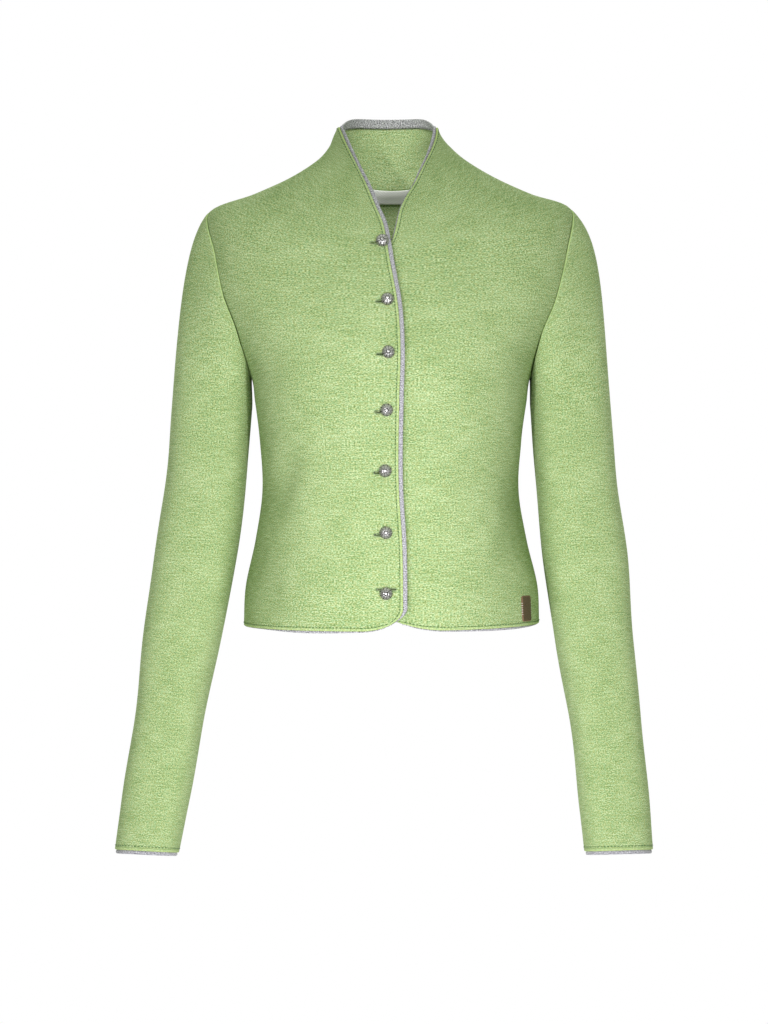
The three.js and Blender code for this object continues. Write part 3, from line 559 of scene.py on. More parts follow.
# seam is a colour painted along the seams within reach millimetres: painted shade on the body, a painted
# highlight on the sleeves
def clothFinish(name, seam, reach):
    look = Finish(
        name, Roughness=0.95, Sheen_Weight=0.02, Sheen_Roughness=0.5, Specular_IOR_Level=clothLook["gloss"]
    )
    grain = look.noise(look.flat(780, 1080), 2.0, 0.6)
    hue = look.noise(look.flat(380, 640), 1.0)
    streak = look.noise(look.flat(60, 620), 2.0)
    cloud = look.noise(look.flat(22, 30), 1.0)
    tone = (grain - 0.5) * clothLook["contrast"] + (streak - 0.5) * 1.0 + (cloud - 0.5) * 0.4
    colour = look.change(hue, 0.36, 0.64, clothLook["cool"], clothLook["warm"])
    colour = look.change(tone, -0.6, 0.05, clothLook["dark"], colour)
    colour = look.change(tone, 0.0, 0.65, colour, clothLook["light"])
    fromEdge = look.mark("fromEdge") + (grain - 0.5) * 1.3
    # painted shade: a dark line where the stitch line presses a groove into the cloth
    sewn = look.step(fromEdge, 2.1, 2.7) * look.step(fromEdge, 2.9, 3.6, 1.0, 0.0)
    colour = look.blend(sewn * 0.45, colour, clothLook["paintedGrooveShade"])
    # painted highlight: the pale ridge between the stitch line and the cut edge
    colour = look.change(fromEdge, 1.8, 2.5, colour, clothLook["paintedWeltHighlight"], 0.26, 0.0)
    colour = look.change(fromEdge, 0.0, 1.0, colour, clothLook["cutEdge"], 0.68, 0.0)
    # painted seam line: shade on the body's panels, a highlight on the sleeves' edge at the armhole
    colour = look.change(look.mark("fromSeam"), reach * 0.5, reach, colour, seam, 0.75, 0.0)
    look.feed("Base Color", colour)
    courses = look.stripes(0, 900, "Y", 3.0)
    fuzz = look.noise(look.flat(1500, 1700), 3.0, 0.7)
    height = grain * 0.6 + fuzz * 0.5 + courses * 0.12
    look.bump(height, 0.0006, 0.6)
    return look.material


stripLook = {"dark": (0.11, 0.10, 0.14), "middle": (0.43, 0.41, 0.48), "light": (0.83, 0.81, 0.90)}
topStripLook = {"dark": (0.09, 0.09, 0.10), "middle": (0.37, 0.37, 0.38), "light": (0.80, 0.79, 0.82)}


def stripFinish(name, tones):
    look = Finish(name, Roughness=0.85, Sheen_Weight=0.2)
    grain = look.noise(look.flat(900, 900), 2.0, 0.6)
    ribs = look.stripes(0, 1200, "Y", 2.0)
    tone = (grain - 0.5) * 3.4 + (ribs - 0.5) * 0.2
    colour = look.change(tone, -0.6, 0.0, tones["dark"], tones["middle"])
    colour = look.change(tone, 0.0, 0.6, colour, tones["light"])
    look.feed("Base Color", colour)
    look.bump(ribs * 0.5 + grain * 0.6, 0.0005, 0.6)
    return look.material


def threadFinish(name, colour, shade):
    look = Finish(name, Roughness=0.7, Sheen_Weight=0.15)
    twist = look.noise(look.place(), 2.0, 0.5, 900.0)
    look.feed("Base Color", look.blend(twist, colour, shade))
    look.bump(twist, 0.0002, 0.5)
    return look.material


def buttonFinish():
    look = Finish("old_silver", Metallic=1.0)
    recess = look.mark("recess")
    mottle = look.noise(look.place(), 4.0, 0.65, 700.0)
    worn = look.step(recess + (mottle - 0.5) * 0.9, 0.15, 0.75)
    look.feed("Base Color", look.blend(worn, (0.60, 0.575, 0.59), (0.03, 0.027, 0.03)))
    look.feed("Roughness", look.step(recess + (mottle - 0.5), 0.1, 0.8, 0.3, 0.75))
    look.bump(mottle, 0.0003, 0.5)
    return look.material


def tapeFinish():
    look = Finish("woven_tape", Roughness=0.7, Sheen_Weight=0.1)
    twill = look.stripes(1400, 1400, "DIAGONAL", 0.6)
    grain = look.noise(look.flat(900, 1500), 2.0)
    tone = twill * 0.35 + grain * 0.65
    look.feed("Base Color", look.blend(tone, (0.74, 0.74, 0.70), (0.97, 0.97, 0.95)))
    look.bump(tone, 0.0003, 0.6)
    return look.material


def leatherFinish():
    look = Finish("brown_leather", Roughness=0.55)
    place = look.place()
    inputs = {"Vector": place, "Scale": 1100.0}
    cells = look.node("ShaderNodeTexVoronoi", {"feature": "DISTANCE_TO_EDGE"}, inputs)
    cloud = look.noise(place, 3.0, 0.5, 260.0)
    pores = look.step(cells, 0.0, 0.16)
    colour = look.blend(cloud, (0.085, 0.05, 0.024), (0.20, 0.125, 0.062))
    colour = look.blend(pores, (0.05, 0.028, 0.014), colour)
    edge = look.step(look.mark("fromEdge"), 0.3, 1.3, 0.8, 0.0)
    look.feed("Base Color", look.blend(edge, colour, (0.30, 0.17, 0.10)))
    look.bump(pores * 0.6 + cloud * 0.4, 0.0003, 0.6)
    return look.material


# two copies of the knit: the body's with painted shade along its seams, the sleeves' with a painted highlight
# along the armhole seam
green = clothFinish("felted_knit", clothLook["paintedGrooveShade"], 0.8)
greenSleeveSeamHighlight = clothFinish("felted_knit_sleeve_seam_highlight", clothLook["paintedSeamHighlight"], 1.5)
grey = stripFinish("jersey_strip", stripLook)
topGrey = stripFinish("jersey_strip_top", topStripLook)
threadGreen = threadFinish("dark_green_thread", (0.045, 0.11, 0.025), (0.10, 0.20, 0.055))
threadHole = threadFinish("buttonhole_thread", (0.20, 0.30, 0.13), (0.38, 0.47, 0.27))
threadWhite = threadFinish("white_thread", (0.62, 0.61, 0.56), (0.9, 0.89, 0.85))
silver = buttonFinish()
tape = tapeFinish()
leather = leatherFinish()
print("finishes made")

panels = {}
sides = ((1, "right"), (-1, "left"))
# Millimetres of knit to a radian
knitTurn = {"body": 115, "collar": 60, "collarTop": 50, "sleeve": 44, "cuff": 36}


def clothPanel(name, outer, normal, fromEdge, fromSeam, flat, finish=green, closed=False):
    marks = {"fromEdge": fromEdge, "fromSeam": fromSeam}
    depths = clothDepths(fromEdge, fromSeam)
    panels[name] = wall("cardigan_" + name, outer, normal, depths, flat, finish, marks, closed)


def frontPanel(side, name):
    rows = frontRows(bodyHeights, side)
    end = rows["end"]
    near = bodyHeights + 1
    slant = slantOf(bodyHeights, end, near, frontRows(near, side)["end"], 0.05)
    out = side * np.clip(slant, 1, 1.8) / perRadian(bodyHeights, end)
    first = edgeSteps if side > 0 else lapSteps
    between = columnsBetween(rows["start"], end, rows["step"], out, first, seamSteps, frontColumns)
    angles, fromFront, fromSide = between
    heights = bodyHeights[:, None]
    outer, normal = spot(heights, angles, side, rows["lift"][:, None])
    fromEdge = np.minimum(np.minimum(fromFront, heights), top - heights)
    clothPanel(name, outer, normal, fromEdge, fromSide, together(angles * knitTurn["body"], heights))


# The back and the collar behind the neck meet in a seam there. Each has an edge at its other end.
def backWall(name, heights, edge, turn):
    start = seamAngle(heights) + armholeWidth(heights, cloth["armholeBack"]) + halfSeam(heights)
    step = 1 / perRadian(heights, start)
    end = 2 * math.pi - start
    angles, first, last = columnsBetween(start, end, step, step, seamSteps, seamSteps, backColumns)
    heights = heights[:, None]
    outer, normal = spot(heights, angles)
    fromSeam = np.minimum(np.minimum(first, last), np.abs(heights - neck))
    clothPanel(name, outer, normal, np.abs(heights - edge), fromSeam, together(angles * turn, heights))


def backPanels():
    half = cloth["seamGap"] / 2
    below = bodyHeights[bodyHeights < neck - seamSteps[-1] - 1]
    backHeights = np.concatenate([below, neck - half - seamSteps[::-1]])
    backWall("back", backHeights, 0, knitTurn["body"])
    backWall("collar", neck + half + pastNeck() * (1 - half / (top - neck)), top, knitTurn["collar"])


def armholeEdge(turn, side):
    def at(part):
        around = np.mod(part, 2 * math.pi)
        front = around <= math.pi
        height = armholeHeight(around)
        ahead, behind = (armholeWidth(height, cloth[place]) for place in ("armholeFront", "armholeBack"))
        angle = side * (math.pi / 2 + np.where(front, -ahead, behind))
        choices = zip(spot(height, angle, side, 0.0, False), spot(height, angle, 0, 0.0, False))
        return tuple(np.where(front[..., None], *choice) for choice in choices)

    outer, normal = at(turn)
    along = unit(at(turn + 0.02)[0] - at(turn - 0.02)[0])
    return outer, normal, along, np.cross(normal, along) * side


# Sleeve sections from the upper arm to the cuff, and how the sleeve's head turns up and runs on
sleeveY, sleeveDepth = [5, 5, 2, -4, -13, -24, -29], [53, 51, 48, 45, 42, 39.5, 38]
sleeves = {
    1: {
        "z": [-216, -290, -370, -450, -530, -610, -657.5],
        "x": [178.5, 184.5, 195.5, 208.5, 220.5, 233.5, 241.2],
        "y": sleeveY,
        "halfWidth": [40, 40, 41, 38.3, 34, 33.2, 31.5],
        "halfDepth": sleeveDepth,
        "head": {"crown": 0.95, "start": 0.59, "end": 0.75},
    },
    -1: {
        "z": [-216, -290, -370, -450, -530, -610, -657],
        "x": [180, 185.8, 195, 203.3, 214, 221.8, 225.8],
        "y": sleeveY,
        "halfWidth": [40, 40.4, 42, 38.8, 35.2, 34.6, 33.8],
        "halfDepth": sleeveDepth,
        "head": {"crown": 1.05, "start": 0.65, "end": 1.7},
    },
}
crosswise = 0.35  # how far the sleeve's rings turn with its slant
sleeveFull = 0.2  # how square their quarters are
underarmEnd = 0.75


def sleeveTools(side):
    table = sleeves[side]
    head = table["head"]
    knots = -np.array(table["z"])

    def column(name, distance):
        return curveAt(knots, table[name], distance)

    def arm(distance, turn):
        drop = column("z", distance - 4) - column("z", distance + 4)
        out = crosswise * np.arctan2(column("x", distance + 4) - column("x", distance - 4), drop)
        forward = np.arctan2(column("y", distance - 4) - column("y", distance + 4), drop)
        across = -column("halfWidth", distance) * np.cos(turn) * (1 + sleeveFull * np.sin(turn) ** 2)
        ahead = column("halfDepth", distance) * np.sin(turn) * (1 + sleeveFull * np.cos(turn) ** 2)
        return together(
            -side * (column("x", distance) + across * np.cos(out)),
            column("y", distance) - ahead * np.cos(forward),
            column("z", distance) + across * np.sin(out) + ahead * np.sin(forward),
        )

    def first(turn):
        return arm(knots[0] + 0 * turn, turn)

    def start(turn):
        outer, normal, along, away = armholeEdge(turn, side)
        up = (1 - np.cos(turn)) / 2
        facing = unit(together(-side * (0.1 + 0.9 * (2 * up - 1)), -np.sin(turn), head["crown"] * up))
        across = unit(np.cross(facing, along)) * side
        return outer + away * cloth["seamGap"] + normal * 0.25, across, away

    def run(turn):
        return lengths(first(turn) - start(turn)[0])

    def cap(share, turn):
        begin, across, _ = start(turn)
        length = run(turn)[..., None]
        down = unit(arm(knots[0] + 1 + 0 * turn, turn) - first(turn))
        end = blendTo(underarmEnd, head["end"], (1 - np.cos(turn)) / 2)[..., None]
        leave, arrive = across * head["start"] * length, down * end * length
        return hermite(share[..., None], begin, first(turn), leave, arrive)

    tools = {"arm": arm, "cap": cap, "run": run, "start": start}
    return {**tools, "top": knots[0], "cuff": knots[-1], "head": head}


sleeveTurns = np.linspace(0, 2 * math.pi, 77)[:-1]
sleeveFolds = {  # turn, distance down the sleeve, turn to, distance to, half width, depth
    1: [
        (1.9, 255, 0.5, 300, 9, 0.9), (2.3, 290, 0.9, 352, 10, 0.8), (2.9, 396, 1.2, 430, 9, 1.0),
        (2.5, 424, 0.7, 452, 8, 0.8), (1.0, 450, 2.4, 476, 9, -0.6), (2.2, 520, 0.9, 548, 9, 0.7),
        (5.6, 400, 4.2, 436, 10, 1.2), (5.9, 430, 4.4, 462, 9, 1.0), (4.4, 560, 5.6, 590, 9, 0.8),
        (2.6, 590, 1.2, 612, 8, 0.5), (4.6, 300, 3.6, 360, 14, 0.9),
    ],
    -1: [
        (1.8, 262, 0.6, 312, 9, 0.8), (2.4, 300, 1.0, 356, 11, 0.7), (2.8, 404, 1.1, 436, 9, 0.9),
        (2.4, 436, 0.8, 460, 8, 0.8), (1.2, 470, 2.5, 492, 9, -0.5), (2.3, 530, 1.0, 556, 9, 0.7),
        (5.5, 408, 4.1, 440, 10, 1.1), (5.8, 440, 4.5, 470, 9, 0.9), (4.3, 566, 5.5, 600, 9, 0.8),
        (2.5, 598, 1.1, 618, 8, 0.5), (4.7, 310, 3.7, 366, 14, 0.8),
    ],
}


# Normals of rings round a sleeve, turned outward
def ringNormals(outer):
    around = np.roll(outer, -1, axis=1) - np.roll(outer, 1, axis=1)
    normal = unit(np.cross(around, np.gradient(outer, axis=0)))
    outward = np.sum(normal * (outer - outer.mean(axis=1, keepdims=True)), axis=-1).mean() > 0
    return normal if outward else -normal


def sleevePanel(side, name):
    tools = sleeveTools(side)
    run = tools["run"](sleeveTurns)
    steps = seamSteps[:, None] / (tools["head"]["start"] * run)
    further = np.linspace(0, 1, 35)[1:, None]
    shares = np.concatenate([steps, steps[-1:] + (1 - steps[-1:]) * further])
    distances = (tools["top"] + spaced(tools["cuff"] - tools["top"], [0], edgeSteps, 4.6)[1:])[:, None]
    capRows = tools["cap"](shares, sleeveTurns + 0 * shares)
    outer = np.concatenate([capRows, tools["arm"](distances, sleeveTurns + 0 * distances)])
    normal = ringNormals(outer)
    away = tools["start"](sleeveTurns)[2]
    lean = np.sum(away * normal[0], axis=-1, keepdims=True)
    normal[0] -= away * np.maximum(lean, 0)
    down = np.concatenate([tools["top"] - (1 - shares) * run, distances + 0 * sleeveTurns])
    across, fromEdge = knitTurn["sleeve"], tools["cuff"] - down
    folds = [(a * across, b, c * across, *rest) for a, b, c, *rest in sleeveFolds[side]]
    fade = cloth["swellFade"]
    inward = ease((down - tools["top"] + 1) / fade) * ease(fromEdge / fade)
    press = foldDepth(folds, sleeveTurns * across, down)
    press += 0.3 * np.sin(down * 0.051 + 2 * sleeveTurns + side) * inward
    outer = outer - normal * press[..., None]
    fromSeam = np.full(down.shape, 99.0)
    fromSeam[: len(seamSteps)] = seamSteps[:, None]
    flat = together(sleeveTurns * across, down)
    clothPanel(name, outer, normal, fromEdge, fromSeam, flat, greenSleeveSeamHighlight, True)


for side, wearer in sides:
    frontPanel(side, f"front_{wearer}")
backPanels()
for side, wearer in sides:
    sleevePanel(side, f"sleeve_{wearer}")
print("panels made")


def stripDepths(past, fromInner):
    under = cloth["thickness"] + strips["gap"]
    fold = np.sin(math.pi * np.clip(past, 0, 1)) ** 0.8
    rounding = 0.4 * strips["thickness"] * (roundOff(1 - past, 0.16) + roundOff(fromInner, 0.6))
    return under - strips["roll"] * fold + rounding, under + strips["thickness"] - rounding


def strip(name, outer, normal, past, fromInner, flat, finish=grey, closed=False):
    depths = stripDepths(past, fromInner)
    panels[name] = wall("cardigan_" + name, outer, normal, depths, flat, finish, None, closed)


# Shares of how far a strip shows, from its fold back to the cloth's edge
pipeSteps = np.array([1, 0.96, 0.88, 0.76, 0.6, 0.42, 0.24, 0.08])


def frontStrip(side, name):
    low, peep = strips["leastPeep"], strips["peep"]
    below, above = -low * np.array([1, 0.9, 0.5]), top + peep * np.array([0.5, 0.9, 1])
    heights = np.concatenate([below, bodyHeights, above])
    rows = frontRows(heights, side)
    wide = strips["pipe"]
    if side < 0:
        wide = blendTo(strips["leftPipe"], wide, ease((heights - neck) / strips["leftPipeRise"]))
    pipe = blendTo(low, wide, ease(heights / cloth["cornerRise"]))[:, None]
    inside = np.array([0, 0.8, 2, 4, 5.4, 6, strips["inside"]])
    distance = np.concatenate([-pipe * pipeSteps, inside + 0 * pipe], axis=1)
    angles = rows["start"][:, None] + rows["step"][:, None] * distance
    heights = heights[:, None]
    outer, normal = spot(heights, angles, side, rows["lift"][:, None])
    fromInner = np.minimum(strips["inside"] - distance, np.minimum(heights + low, top + peep - heights))
    strip(name, outer, normal, np.clip(-distance / pipe, 0, 1), fromInner, together(distance, heights))


# Spots all round the body, from the right front's angle to the left front's
def aroundSpot(height, angle, level):
    choices = [
        spot(height, angle, 1, frontRows(level, 1)["lift"][:, None]),
        spot(height, angle),
        spot(height, angle - 2 * math.pi, -1, frontRows(level, -1)["lift"][:, None]),
    ]
    seam = seamAngle(level)[:, None]
    pick = np.where(angle < seam, 0, np.where(angle > 2 * math.pi - seam, 2, 1))[..., None]
    return tuple(np.choose(pick, [choice[i] for choice in choices]) for i in (0, 1))


def aroundAngles(level, inset, count):
    right, left = frontRows(level, 1), frontRows(level, -1)
    first = right["start"] + right["step"] * inset
    last = 2 * math.pi + left["start"] + left["step"] * inset
    return first[:, None] + (last - first)[:, None] * np.linspace(0, 1, count)


def hemStrip():
    inside = np.array([0.8, 2, 4, 5.4, 6, strips["inside"]])
    share = np.concatenate([pipeSteps, [0]])
    level = np.concatenate([0 * share, inside])
    angles = aroundAngles(level, strips["inside"] + strips["endGap"], hemColumns)
    turned = np.where(angles > math.pi, angles - 2 * math.pi, angles)
    waves = np.where(turned > 0, 3, 2)
    show = np.sin(waves * turned) ** 2 * (np.abs(turned) < math.pi / waves)
    peep = blendTo(strips["leastPeep"], strips["peep"], show)
    height = np.concatenate([-peep[: len(share)] * share[:, None], inside[:, None] + 0 * angles[:1]])
    outer, normal = aroundSpot(height, angles, level)
    flat = together(height, angles * knitTurn["body"])
    strip("binding_hem", outer, normal, np.clip(-height / peep, 0, 1), strips["inside"] - height, flat)


def collarStrip():
    inside = np.array([strips["collarInside"], strips["collarInside"] - 0.5, 3.4, 2, 0.8, 0])
    height = np.concatenate([top - inside, top + strips["peep"] * pipeSteps[::-1]])
    level = np.minimum(height, top)
    angles = aroundAngles(level, strips["inside"] + strips["endGap"], collarColumns)
    rows = height[:, None] + 0 * angles
    rows[0] -= np.where(np.arange(collarColumns) % 2, 0.55, -0.25)  # a pinked edge
    outer, normal = aroundSpot(rows, angles, level)
    past = np.clip((rows - top) / strips["peep"], 0, 1)
    flat = together(rows, angles * knitTurn["collarTop"])
    strip("binding_collar", outer, normal, past, np.maximum(0, rows - rows[:1]), flat, topGrey)


def cuffStrip(side, name):
    tools = sleeveTools(side)
    inside = np.array([-strips["inside"], -6, -4.5, -2.5, -0.8, 0])
    distance = (tools["cuff"] + np.concatenate([inside, strips["cuffPeep"] * pipeSteps[::-1]]))[:, None]
    outer = tools["arm"](distance, sleeveTurns + 0 * distance)
    past = np.clip((distance - tools["cuff"]) / strips["cuffPeep"], 0, 1)
    flat = together(distance, sleeveTurns * knitTurn["cuff"])
    strip(name, outer, ringNormals(outer), past, distance - distance[0], flat, grey, True)


for side, wearer in sides:
    frontStrip(side, f"binding_front_{wearer}")
hemStrip()
collarStrip()
for side, wearer in sides:
    cuffStrip(side, f"binding_cuff_{wearer}")
print("strips made")

stitching = {"edge": 3.0, "hem": 3.1, "cuff": 4.2, "pitch": 3.4, "length": 2.2, "radius": 0.42}


# Each stitch is a short bent capsule that goes in and out of the cloth
def stitches(name, begins, ends, normals, radius, material, rise=0.12, around=6):
    begins, ends, normals = (np.asarray(x, float) for x in (begins, ends, normals))
    along = unit(ends - begins)
    across = unit(np.cross(normals, along))
    lifted = np.cross(along, across)
    # share of its length, height over the cloth, share of its radius
    stations = [(0, -0.25, 0.35), (0.1, rise * 0.2, 0.9), (0.35, rise, 1)]
    stations += [(1 - share, high, wide) for share, high, wide in stations[::-1]]
    turn = (np.arange(around) / around * 2 * math.pi)[:, None]
    ring = across[:, None] * np.cos(turn) + lifted[:, None] * np.sin(turn)
    rings = []
    for share, high, wide in stations:
        centre = begins + (ends - begins) * share + normals * high
        rings.append(centre[:, None] + ring * radius * wide)
    each = len(stations) * around
    firsts = range(0, len(begins) * each, each)
    one = gridFaces(len(stations), around, True, False)
    faces = (one[None] + np.array(firsts)[:, None, None]).reshape(-1, 4).tolist()
    for first in firsts:
        faces.append([first + k for k in range(around)][::-1])
        faces.append([first + each - around + k for k in range(around)])
    panels[name] = newObject("cardigan_" + name, np.stack(rings, axis=1), faces, material)


def runAlong(path):
    return np.concatenate([[0], np.cumsum(lengths(np.diff(path, axis=0)))])


def pathAt(at, run, path):
    return np.stack([np.interp(at, run, column) for column in path.T], axis=-1)


# Evenly pitched stitches along a line of spots
def stitchesAlong(path, normals):
    pitch, run = stitching["pitch"], runAlong(path)
    begin = np.arange(pitch / 2, run[-1] - pitch / 2, pitch)
    end = begin + stitching["length"]
    return pathAt(begin, run, path), pathAt(end, run, path), unit(pathAt(begin, run, normals))


def topStitching():
    inset, low = stitching["edge"], stitching["hem"]
    lines = []
    for side, _ in sides:
        heights = np.linspace(low, top - inset, 420)
        rows = frontRows(heights, side)
        lines.append(spot(heights, rows["start"] + rows["step"] * inset, side, rows["lift"]))
        tools = sleeveTools(side)
        turns = np.linspace(0, 2 * math.pi, 200)
        ring, below = (tools["arm"](tools["cuff"] - up + 0 * turns, turns) for up in (stitching["cuff"], 0))
        facing = unit(np.cross(below - ring, np.gradient(ring, axis=0)))
        facing *= np.sign(np.sum(facing * (ring - ring.mean(axis=0)), axis=-1, keepdims=True))
        lines.append((ring, facing))
    for height in (low, top - inset):
        level = np.array([height])
        angles = aroundAngles(level, inset + 1.5, 900)
        outer, normal = aroundSpot(height + 0 * angles, angles, level)
        lines.append((outer[0], normal[0]))
    sewn = zip(*(stitchesAlong(*line) for line in lines))
    stitches("topstitching", *(np.concatenate(part) for part in sewn), stitching["radius"], threadGreen)


topStitching()

buttons = {
    "x": [-8.2, -3.2, -2.3, -4, -5.3, -4.7, -4.5],
    "z": [-58.6, -116.9, -168.5, -224, -282.3, -342, -400.5],
    "shank": [-2, -2, -2, -2, -2, -2, 3.8],
    "right": [11, 11, 11, 11, 11, 11, 9],  # how far the slit runs from the shank
    "left": [0, 0, 0, 0, 0, 0, 9],
    "radius": 6.2,
    "dome": 4.6,
    "rim": 1.2,
    "petals": 9,
    "relief": 0.55,
    "slitWidth": 1.1,
    "eyeRadius": 1.5,
}


def placeOn(x, z):
    height, angle = np.array(0.0), np.array(0.0)
    for _ in range(30):
        half = ringAt("sideX", height) * (1 + ringAt("frontFull", height) * np.cos(angle) ** 2)
        angle = np.arcsin(np.clip((ringAt("sway", height) - x) / half, -1, 1))
        height = height + z - bodyPoint(height, angle)[2]
    return height, angle


# A frame on the right front at a button: to the wearer's left, out of the cloth and down it
def placeFrame(index):
    height, angle = placeOn(buttons["x"][index], buttons["z"][index])
    outer, normal = spot(height, angle, 1)
    left = unit(np.array([1, 0, 0]) - normal * normal[0])
    return outer, left, normal, np.cross(left, normal)


def inFrame(place, local):
    outer, left, normal, down = place
    local = np.asarray(local, float)
    return outer + local[..., :1] * left + local[..., 1:2] * normal + local[..., 2:] * down


def slitOutline(index):
    right, left, width = buttons["right"][index], buttons["left"][index], buttons["slitWidth"] / 2
    turn = np.linspace(-1, 1, 7) * math.pi / 2
    radius = buttons["eyeRadius"] if not left else width
    rightEnd = [(-right + width * 0.4 - width * math.cos(t), width * math.sin(t)) for t in turn[::-1]]
    leftEnd = [(left + radius * math.cos(t), radius * math.sin(t)) for t in turn]
    return np.array(rightEnd + leftEnd)


def cutSlits(panel, indexes):
    outside, within = 3.5, -8.5  # how far a cutter reaches out of the cloth and in
    cutters = []
    for index in indexes:
        line = slitOutline(index)
        count = len(line)
        place = placeFrame(index)
        up = buttons["shank"][index]
        rings = [inFrame(place, [(a, depth, b - up) for a, b in line]) for depth in (outside, within)]
        faces = gridFaces(2, count, True, False).tolist()
        faces += [list(range(count))[::-1], [count + k for k in range(count)]]
        cutter = newObject(f"slit_{index}", np.concatenate(rings), faces, green)
        cutters.append(cutter)
        solid = cutter.data
        centre = sum((v.co for v in solid.vertices), Vector()) / len(solid.vertices)
        if sum(face.normal.dot(face.center - centre) for face in solid.polygons) < 0:
            solid.flip_normals()
        cut = panel.modifiers.new(f"slit_{index}", "BOOLEAN")
        cut.operation, cut.solver, cut.object = "DIFFERENCE", "EXACT", cutter
    graph = bpy.context.evaluated_depsgraph_get()
    opened = panel.evaluated_get(graph)
    mesh = bpy.data.meshes.new_from_object(opened, preserve_all_data_layers=True, depsgraph=graph)
    panel.modifiers.clear()
    panel.data = mesh
    for cutter in cutters:
        bpy.data.objects.remove(cutter)


cutSlits(panels["front_right"], range(7))
cutSlits(panels["binding_front_right"], [0])


# Close satin stitches over both lips of each slit and round its ends
def slitStitching():
    sewn = []
    for index in range(7):
        place = placeFrame(index)
        line = slitOutline(index)
        loop = np.concatenate([line, line[:1]])
        run = runAlong(loop)
        for at in np.arange(0, run[-1] - 0.2, 0.5):
            (a, b), (c, d) = pathAt(at, run, loop), pathAt(at + 0.05, run, loop)
            away = unit(np.array([d - b, a - c]))
            down = b - buttons["shank"][index]
            reaches = (-0.15, 1.05 + 0.12 * math.sin(5 * at + index))
            ends = [inFrame(place, [a + reach * away[0], 0.05, down + reach * away[1]]) for reach in reaches]
            sewn.append((*ends, place[2]))
    stitches("buttonhole_stitching", *zip(*sewn), 0.24, threadHole, 0.22)


slitStitching()


# A low dome with a rosette of petals pressed into it, and a shank down through the slit
def button(index):
    around, rings = 63, 22
    radius, shift = buttons["radius"], buttons["shank"][index]
    turn = np.arange(around) / around * 2 * math.pi
    share = (np.linspace(0, 1, rings)[1:] ** 0.9)[:, None]
    spin = turn + 0.45 * index
    petal = np.abs(np.sin(buttons["petals"] / 2 * spin + 0.5 * np.sin(3 * share + index)))
    groove = bell(petal, 0.26) * ease((share - 0.2) / 0.15)
    vein = bell(1 - petal, 0.05) * 0.45 * ease((share - 0.35) / 0.2)
    ringGroove = bell(share - 0.3, 0.05) + 0.6 * bell(share - 0.88, 0.04)
    cracks = np.sin(7 * spin + 9 * share + 2 * index) * np.sin(5 * spin - 14 * share)
    cracks = 0.5 * np.clip(cracks, 0, 1) ** 3
    recess = np.clip(np.maximum(np.maximum(groove, vein), np.maximum(ringGroove, cracks)), 0, 1)
    height = buttons["rim"] + buttons["dome"] * np.sqrt(1 - (0.985 * share) ** 2) - buttons["relief"] * recess

    def ring(wide, level, down=0.0):
        return together(wide * np.cos(turn), level, wide * np.sin(turn) - down)

    under = [ring(wide * radius, level) for wide, level in ((1, 0.75), (0.97, 0.45), (0.88, 0.3), (0.3, 0.3))]
    stem = [ring(wide, level, shift) for wide, level in ((1, -0.2), (1, -2.0), (1.25, -3.2), (1, -3.7))]
    grid = np.concatenate([ring(share * radius, height), under, stem])
    points = np.concatenate([[[0, buttons["rim"] + buttons["dome"] - 0.12, 0]], grid.reshape(-1, 3)])
    faces = (gridFaces(len(grid), around, True, False) + 1).tolist()
    faces += [[0, 1 + k, 1 + (k + 1) % around][::-1] for k in range(around)]
    faces.append([1 + (len(grid) - 1) * around + k for k in range(around)])
    place = placeFrame(index)
    made = newObject(f"cardigan_button_{index + 1}", inFrame(place, points), faces, silver)
    made.data.update()
    if made.data.polygons[-2].normal.dot(Vector(place[2])) < 0:
        made.data.flip_normals()
    plain = np.full((len(under) + len(stem)) * around, 0.8)
    deep = np.concatenate([[0.1], recess.ravel(), plain]).astype(np.float32)
    made.data.attributes.new("recess", "FLOAT", "POINT").data.foreach_set("value", deep)
    return made


for index in range(7):
    panels[f"button_{index + 1}"] = button(index)
print("buttons made")

neckTape = {"halfWidth": 28, "height": 20, "thickness": 0.7}


def neckLabel():
    high, halfWidth = neckTape["height"], neckTape["halfWidth"]
    perHeight = np.linalg.norm(bodyPoint(neck, math.pi) - bodyPoint(neck - 1, math.pi))
    backDepth = bodyRings["backY"][neckRing] + 6
    reach = halfWidth / backDepth
    heights = np.linspace(neck - 1 - high / perHeight, neck - 1, 26)[:, None]
    angles = np.linspace(math.pi - reach, math.pi + reach, 60)[None]
    outer, normal = spot(heights + 0 * angles, angles + 0 * heights)
    down = (heights - heights[0]) * perHeight
    sideways = (angles - angles[0, 0]) * backDepth
    fromEdge = np.minimum(np.minimum(down, high - down), np.minimum(sideways, 2 * halfWidth - sideways))
    close = 1 - np.clip(fromEdge / 0.5, 0, 1)
    under = cloth["thickness"] + seamDip(neck - heights) + 0.15
    bow = 0.25 * np.sin(np.pi * down / high)
    depths = (under + 0.15 * close**2, under + neckTape["thickness"] * (1 - 0.35 * close**2) + bow)
    return wall("cardigan_neck_tape", outer, normal, depths, together(sideways, down), tape)


hemPatch = {"x": 133.5, "z": -416.5, "halfWidth": 8.5, "halfHeight": 13.2, "corner": 3, "thickness": 1.4}


